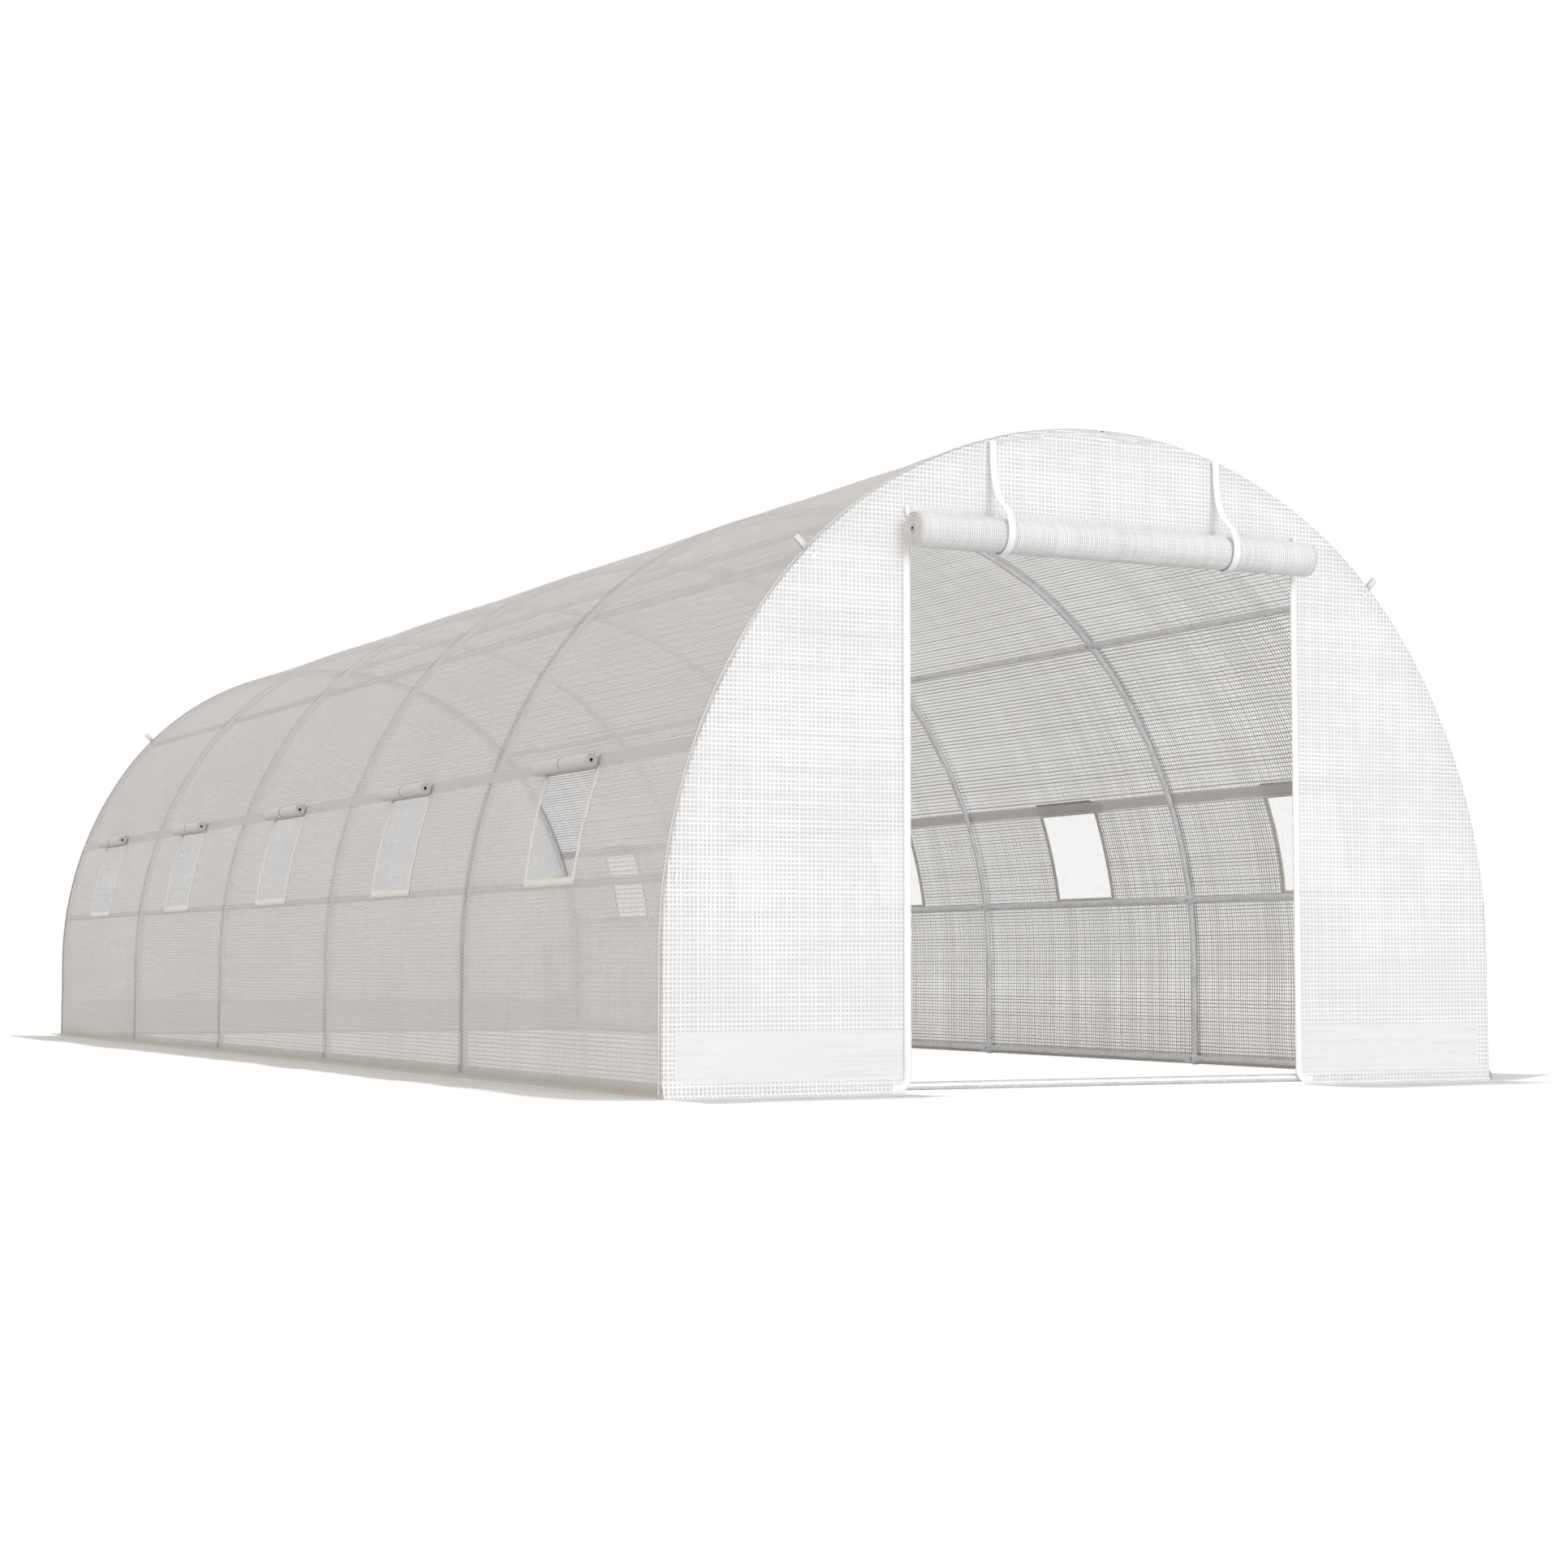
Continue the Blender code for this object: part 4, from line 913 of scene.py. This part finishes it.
def build_door_roll():
    """The rolled door: its turns slip a little past each other at the ends."""
    thick = 0.0037
    out, up, run, share = scroll(0.008, DOOR_ROLL_RADIUS, 8, 36, thick)
    half = DOOR_ROLL_LENGTH / 2
    marks = [-half]
    for tie in (-TIE_OFFSET, TIE_OFFSET):
        marks += [tie - 0.03, tie - 0.012, tie + 0.012, tie + 0.03]
    length = breaks([*marks, half], 0.03)
    oo, xx = crossed(np.arange(len(out)), length)
    squeeze = 1 - 0.035 * near(xx, (-TIE_OFFSET, TIE_OFFSET), 0.02) * share[oo]
    bumps = noise(xx * 6 + 5, run[oo] * 4 + 5, 31) + 0.6 * noise(xx * 14, run[oo] * 9, 33)
    squeeze = squeeze - 0.010 * (1.6 + bumps) / 2
    centre = DOOR_ROLL_RADIUS
    deep = centre + (out[oo] - centre) * squeeze
    high = up[oo] * squeeze
    slip = 0.0012 * noise(run[oo] * 2.5 + 2, np.sign(xx) * 5 + 20, 35)
    slip = slip * ramp(np.abs(xx), half - 0.05, half) * np.sign(xx)
    away = DOOR_ROLL_DEPTH - centre + deep
    points = together(DOOR_CENTRE + xx + slip, -away, DOOR_ROLL_UP + high)
    weave = together(run[oo], xx)
    # The innermost turn gets the near-black painted shade of the roll's hollow.
    core = (oo[:-1, :-1] < 30).astype(int)
    made = surface("door_roll_cloth", points, weave, [DOOR, ROLL_CORE_SHADE, ROLL_END], look_of=core)
    made = thicken(made, thick)
    made.modifiers["thickness"].material_offset_rim = 2
    stand_for(made, "door_roll", "rolled_door")


def build_door_sheet():
    """The door's cloth from its seam to the roll, built as it hangs at rest; its weave coordinates allow
    for the cloth paid out as the roll goes down.
    """
    hold, end = DOOR_ROLL_UP + 0.052, DOOR_ROLL_UP + 0.004
    rows = np.concatenate([breaks([DOOR_SHEET_TOP, hold], 0.006), np.linspace(hold, end, 121)[1:]])
    share = ramp(-rows, -hold, -end)
    xx, zz = crossed(np.linspace(-DOOR_HALF, DOOR_HALF, 61), rows)
    lowered = zz - share * DOOR_TRAVEL
    wave = 0.0022 * noise(xx * 5, lowered * 1.3 + 9, 41) * ramp(-lowered, -1.60, -1.40)
    depth = PANEL_MID + CLOTH / 2 + GAP + 0.0009
    points = together(DOOR_CENTRE + xx, -depth - wave - 0.0022 * (wave != 0), zz)
    weave = together(lowered, xx)
    made = surface("door_cloth_sheet", points, weave, [DOOR])
    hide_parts("door_sheet")
    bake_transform(made)


def smooth_path(points, per_span):
    """A smooth curve through points, Catmull-Rom."""
    p = np.array([points[0], *points, points[-1]], float)
    path = []
    for before, start, end, after in zip(p, p[1:], p[2:], p[3:]):
        square = 2 * before - 5 * start + 4 * end - after
        cube = 3 * start - before - 3 * end + after
        for t in np.arange(per_span) / per_span:
            path.append(start + 0.5 * ((end - before) * t + square * t**2 + cube * t**3))
    return np.array([*path, p[-1]])


def build_ties():
    """Two straps that hang from the arch in front of the roll, and their loops under it."""
    edge = ROOF_MID + CLOTH / 2
    top = TOP_CENTRE + math.sqrt((TOP_RADIUS + edge) ** 2 - TIE_OFFSET**2)
    front = DOOR_ROLL_RADIUS + GAP + 0.00075
    start = DOOR_ROLL_DEPTH - PANEL_MID - CLOTH / 2 - GAP - 0.00075
    rise = top - DOOR_ROLL_UP
    hang = [
        (start, rise - 0.006),
        (start * 0.93, rise - 0.030),
        (start * 0.88, rise * 0.74),
        (start * 0.70, rise * 0.54),
        (start * 0.20, rise * 0.36),
        (-front * 0.62, rise * 0.23),
        (-front * 0.97, rise * 0.09),
        (-front + 0.0004, -0.0025),
    ]
    loop_turns = np.linspace(-0.01, math.radians(168), 30)
    loop = together(-front * np.cos(loop_turns), -front * np.sin(loop_turns))
    for side, sign in SIDES:
        for kind, line, body, node in (
            ("door_strap", smooth_path(hang, 8), "root", "door_tie"),
            ("door_strap_loop", loop, "rolled_door", "door_tie_loop"),
        ):
            x = DOOR_CENTRE + sign * TIE_OFFSET
            path = together(x, -DOOR_ROLL_DEPTH + line[:, 0], DOOR_ROLL_UP + line[:, 1])
            made = strip(f"{kind}_{side}", path, (1, 0, 0), TIE_WIDTH, STRAP, 0.0015)
            stand_for(made, f"{node}_{side}", body)


def build_guy_loops():
    """Webbing loops for guy ropes near the four corners of the roof."""
    x, z, nx, nz = (float(v) for v in arch(along(UPPER_RAIL), ROOF_MID + CLOTH / 2))
    half, length = 0.0047, 0.046
    line = [(half, 0.001), (half * 1.1, length * 0.5), (half, length - half)]
    turns = np.linspace(0.3, math.pi, 7)
    line += [(half * math.cos(t), length - half + half * math.sin(t)) for t in turns]
    line += [(-half * 1.1, length * 0.5), (-half, 0.001)]
    for end, way in ENDS:
        for side, sign in SIDES:
            y = way * (CLOTH_END - 0.015)
            path = [(sign * (x + nx * up), y + out, z + nz * up) for out, up in line]
            across = (sign * nz, 0, -nx)
            made = strip(f"rope_loop_{end}_{side}", path, across, LOOP_WIDTH, LOOP, 0.0013)
            stand_for(made, f"guy_loop_{end}_{side}")


# Ground flaps


def flap_profile(width):
    """(out, up) of a flap: its hem up the wall, a bend, then out over the ground."""
    floor = CLOTH / 2
    turns = np.linspace(0, math.pi / 2, 7)
    curve = [
        (FLAP_BEND * (1 - math.cos(t)), floor + FLAP_BEND * (1 - math.sin(t))) for t in turns
    ]
    rise = [(0.0, height) for height in FLAP_RISE]
    flat = [(h, floor) for h in breaks([FLAP_BEND, width], 0.02)[1:]]
    return np.array(rise + curve + flat)


def ground_flap(name, node, start, end, wall, out_way, width, seed, tips=(0.0, 0.0)):
    """A flap along X or Y between two positions, lying in low waves with an uneven edge."""
    profile = flap_profile(width)
    run = run_of(profile)
    line = breaks([start, end], 0.022)
    ll, pp = crossed(line, np.arange(len(profile)))
    out, up = profile[pp, 0], profile[pp, 1]
    away = np.clip((out - FLAP_BEND) / (width - FLAP_BEND), 0, 1)
    edge = 1 - 0.035 * away**2 * (1 + noise(ll * 2.2 + seed, ll * 0 + seed, seed))
    out = out * edge
    wave = (1 + noise(ll * 2.4 + seed, away * 1.2 + seed, seed + 1)) / 2
    ripple = (1 + noise(ll * 7.0 + seed, away * 2.0 + seed, seed + 2)) / 2
    up = up + away * (0.0055 * wave + 0.0035 * ripple * away)
    for at, tip in zip((start, end), tips):
        up = up + tip * away**1.5 * np.exp(-np.abs(ll - at) / 0.09)
    x_way, y_way = out_way
    if x_way:
        beside = ramp(ll, -CLOTH_END - 0.012, -CLOTH_END)
        up = CLOTH / 2 + (up - CLOTH / 2) * np.where(away > 0, 1, beside)
        points = together(x_way * (wall + out), ll, up)
        across = x_way * (along(profile[0, 1]) + run[pp])
        looks = [HEM_LOOK, GROUND, WALLS["left" if x_way < 0 else "right"]]
        reach = 0.006
    else:
        points = together(ll, y_way * (wall + out), up)
        across = profile[0, 1] - run[pp]
        looks = [PANEL, FRONT_GROUND]
        reach = 0.055
    weave = together(across, ll)
    look_of = (out[:-1, :-1] > reach).astype(int)
    if x_way:
        look_of[pp[:-1, :-1] < 2] = 2
    made = surface(name, points, weave, looks, look_of=look_of)
    stand_for(made, node)


def build_flaps():
    side = HALF_WIDTH + WALL_MID + CLOTH + GAP
    panel = PANEL_MID + CLOTH + GAP
    reach = HALF_WIDTH + WALL_MID
    jamb = DOOR_HALF + 0.0253
    ends = (-4.045, CLOTH_END)
    ground_flap("side_flap_left", "ground_flap_left", *ends, side, (-1, 0), SIDE_FLAP, 51, (0.004, 0))
    ground_flap("side_flap_right", "ground_flap_right", *ends, side, (1, 0), SIDE_FLAP, 57, (0.022, 0))
    rows = ((-reach, DOOR_CENTRE - jamb, "left", 61), (DOOR_CENTRE + jamb, reach, "right", 67))
    for low, high, name, seed in rows:
        node = f"ground_flap_front_{name}"
        ground_flap(f"front_flap_{name}", node, low, high, panel, (0, -1), END_FLAP, seed)
    ground_flap("back_flap", "ground_flap_back", -reach, reach, panel, (0, 1), END_FLAP, 71)


# Steel


def bolt_seats():
    """(x, z, way): where a rail's bolt sits under a hoop, and which way its head points."""
    seats = []
    for height, centre_x, centre_z, radius in (
        (MID_RAIL, -SIDE_CENTRE, LEG, SIDE_RADIUS),
        (UPPER_RAIL, 0.0, TOP_CENTRE, TOP_RADIUS),
    ):
        turn = math.asin((height - centre_z) / radius)
        reach = radius - TUBE_R - BOLT_STAND
        for _, sign in SIDES:
            x, z = centre_x + reach * math.cos(turn), centre_z + reach * math.sin(turn)
            seats.append((sign * x, z, (-sign * math.cos(turn), 0, -math.sin(turn))))
    seats.append((0.0, HEIGHT - TUBE_R - BOLT_STAND, (0, 0, -1)))
    for _, sign in SIDES:
        seats.append((sign * (HALF_WIDTH - TUBE_R - BOLT_STAND), BASE_RAIL, (-sign, 0, 0)))
    return seats


def build_bolts():
    """A hexagon-headed bolt with its washer at each crossing of a rail and a hoop."""
    work = bmesh.new()
    washer = (20, 0.0075, 0.97, -0.0004, 0.0010)
    head = (6, 0.0052, 0.93, 0.001, 0.0052)
    for y in HOOPS:
        for x, z, way in bolt_seats():
            turn = Vector(way).to_track_quat("Z", "Y").to_matrix().to_4x4()
            base = Matrix.Translation((x, y, z)) @ turn
            for sides, radius, taper, low, high in (washer, head):
                bmesh.ops.create_cone(
                    work,
                    cap_ends=True,
                    segments=sides,
                    radius1=radius,
                    radius2=radius * taper,
                    depth=high - low,
                    matrix=base @ Matrix.Translation((0, 0, (low + high) / 2)),
                )
    data = bpy.data.meshes.new("rail_bolts")
    work.to_mesh(data)
    work.free()
    bolts = new_object("rail_bolts", data, [BOLT])
    edge = bolts.modifiers.new("edges", "BEVEL")
    edge.width = 0.0004
    edge.limit_method = "ANGLE"
    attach(bolts, "root")


def dress_nodes():
    """The carried CAD nodes get their metals."""
    for name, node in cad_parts.items():
        if name.startswith("hoop_") or "_rail" in name or name.endswith("_sill"):
            look = STEEL
        elif name.startswith("zip_slider"):
            look = SLIDER
        else:
            continue
        node.data.materials.clear()
        node.data.materials.append(look)


# Stage, light and camera


def build_stage():
    """A pale floor, white to the camera where no shadow falls."""
    reach, height = 60, -0.0006
    corners = [(x * reach, y * reach, height) for x, y in ((-1, -1), (1, -1), (1, 1), (-1, 1))]
    data = bpy.data.meshes.new("floor")
    data.from_pydata(corners, [], [(0, 1, 2, 3)])
    look = Look("pale_floor")
    matt = look.body((0.80, 0.80, 0.80), 0.9)
    glow = look.node("ShaderNodeEmission", {"Color": (1, 1, 1), "Strength": 0.86}).outputs[0]
    faint = look.body((0.22, 0.22, 0.22), 0.9)
    both = look.wired(look.node("ShaderNodeAddShader"), glow, faint)
    seen = look.node("ShaderNodeLightPath").outputs["Is Camera Ray"]
    new_object("floor", data, [look.done(look.mix(seen, matt, both))])


def build_world():
    """Soft light from all round, warmer from the left, and a white background."""
    look = Look("studio", bpy.data.worlds)
    bpy.context.scene.world = look.made
    place = look.node("ShaderNodeTexCoord").outputs["Generated"]
    split = look.node("ShaderNodeSeparateXYZ", {"Vector": place})
    side = look.fit(split.outputs[0], -0.7, 0.7, 0, 1)
    tint = look.blend(side, (0.945, 0.90, 0.855), (0.86, 0.87, 0.885))
    lit = look.node("ShaderNodeBackground", {"Color": tint}).outputs[0]
    white = look.node("ShaderNodeBackground", {"Color": (1, 1, 1)}).outputs[0]
    path = look.node("ShaderNodeLightPath").outputs
    bright = path["Is Camera Ray"]
    for name in ("Is Glossy Ray", "Is Transmission Ray"):
        bright = look.most(bright, path[name])
    look.done(look.mix(bright, lit, white), "ShaderNodeOutputWorld")


def build_light():
    lamp = bpy.data.lights.new("front_light", "SUN")
    lamp.energy = 0.95
    lamp.angle = math.radians(28)
    made = new_object("front_light", lamp)
    made.rotation_mode = "QUATERNION"
    made.rotation_quaternion = Vector(LIGHT_WAY).to_track_quat("-Z", "Y")


def build_camera():
    lens = bpy.data.cameras.new("camera")
    lens.lens = CAMERA_LENS
    lens.clip_start, lens.clip_end = 0.1, 200.0
    made = new_object("camera", lens)
    made.location = CAMERA_PLACE
    made.rotation_euler = (math.radians(90 + CAMERA_UP), 0.0, -math.radians(CAMERA_RIGHT))
    bpy.context.scene.camera = made


bpy.context.scene.view_settings.view_transform = "Standard"
build_roof()
build_walls()
build_nets()
build_panels()
build_jambs()
build_window_rolls()
build_door_roll()
build_door_sheet()
build_ties()
build_guy_loops()
build_flaps()
build_bolts()
dress_nodes()
build_stage()
build_world()
build_light()
build_camera()
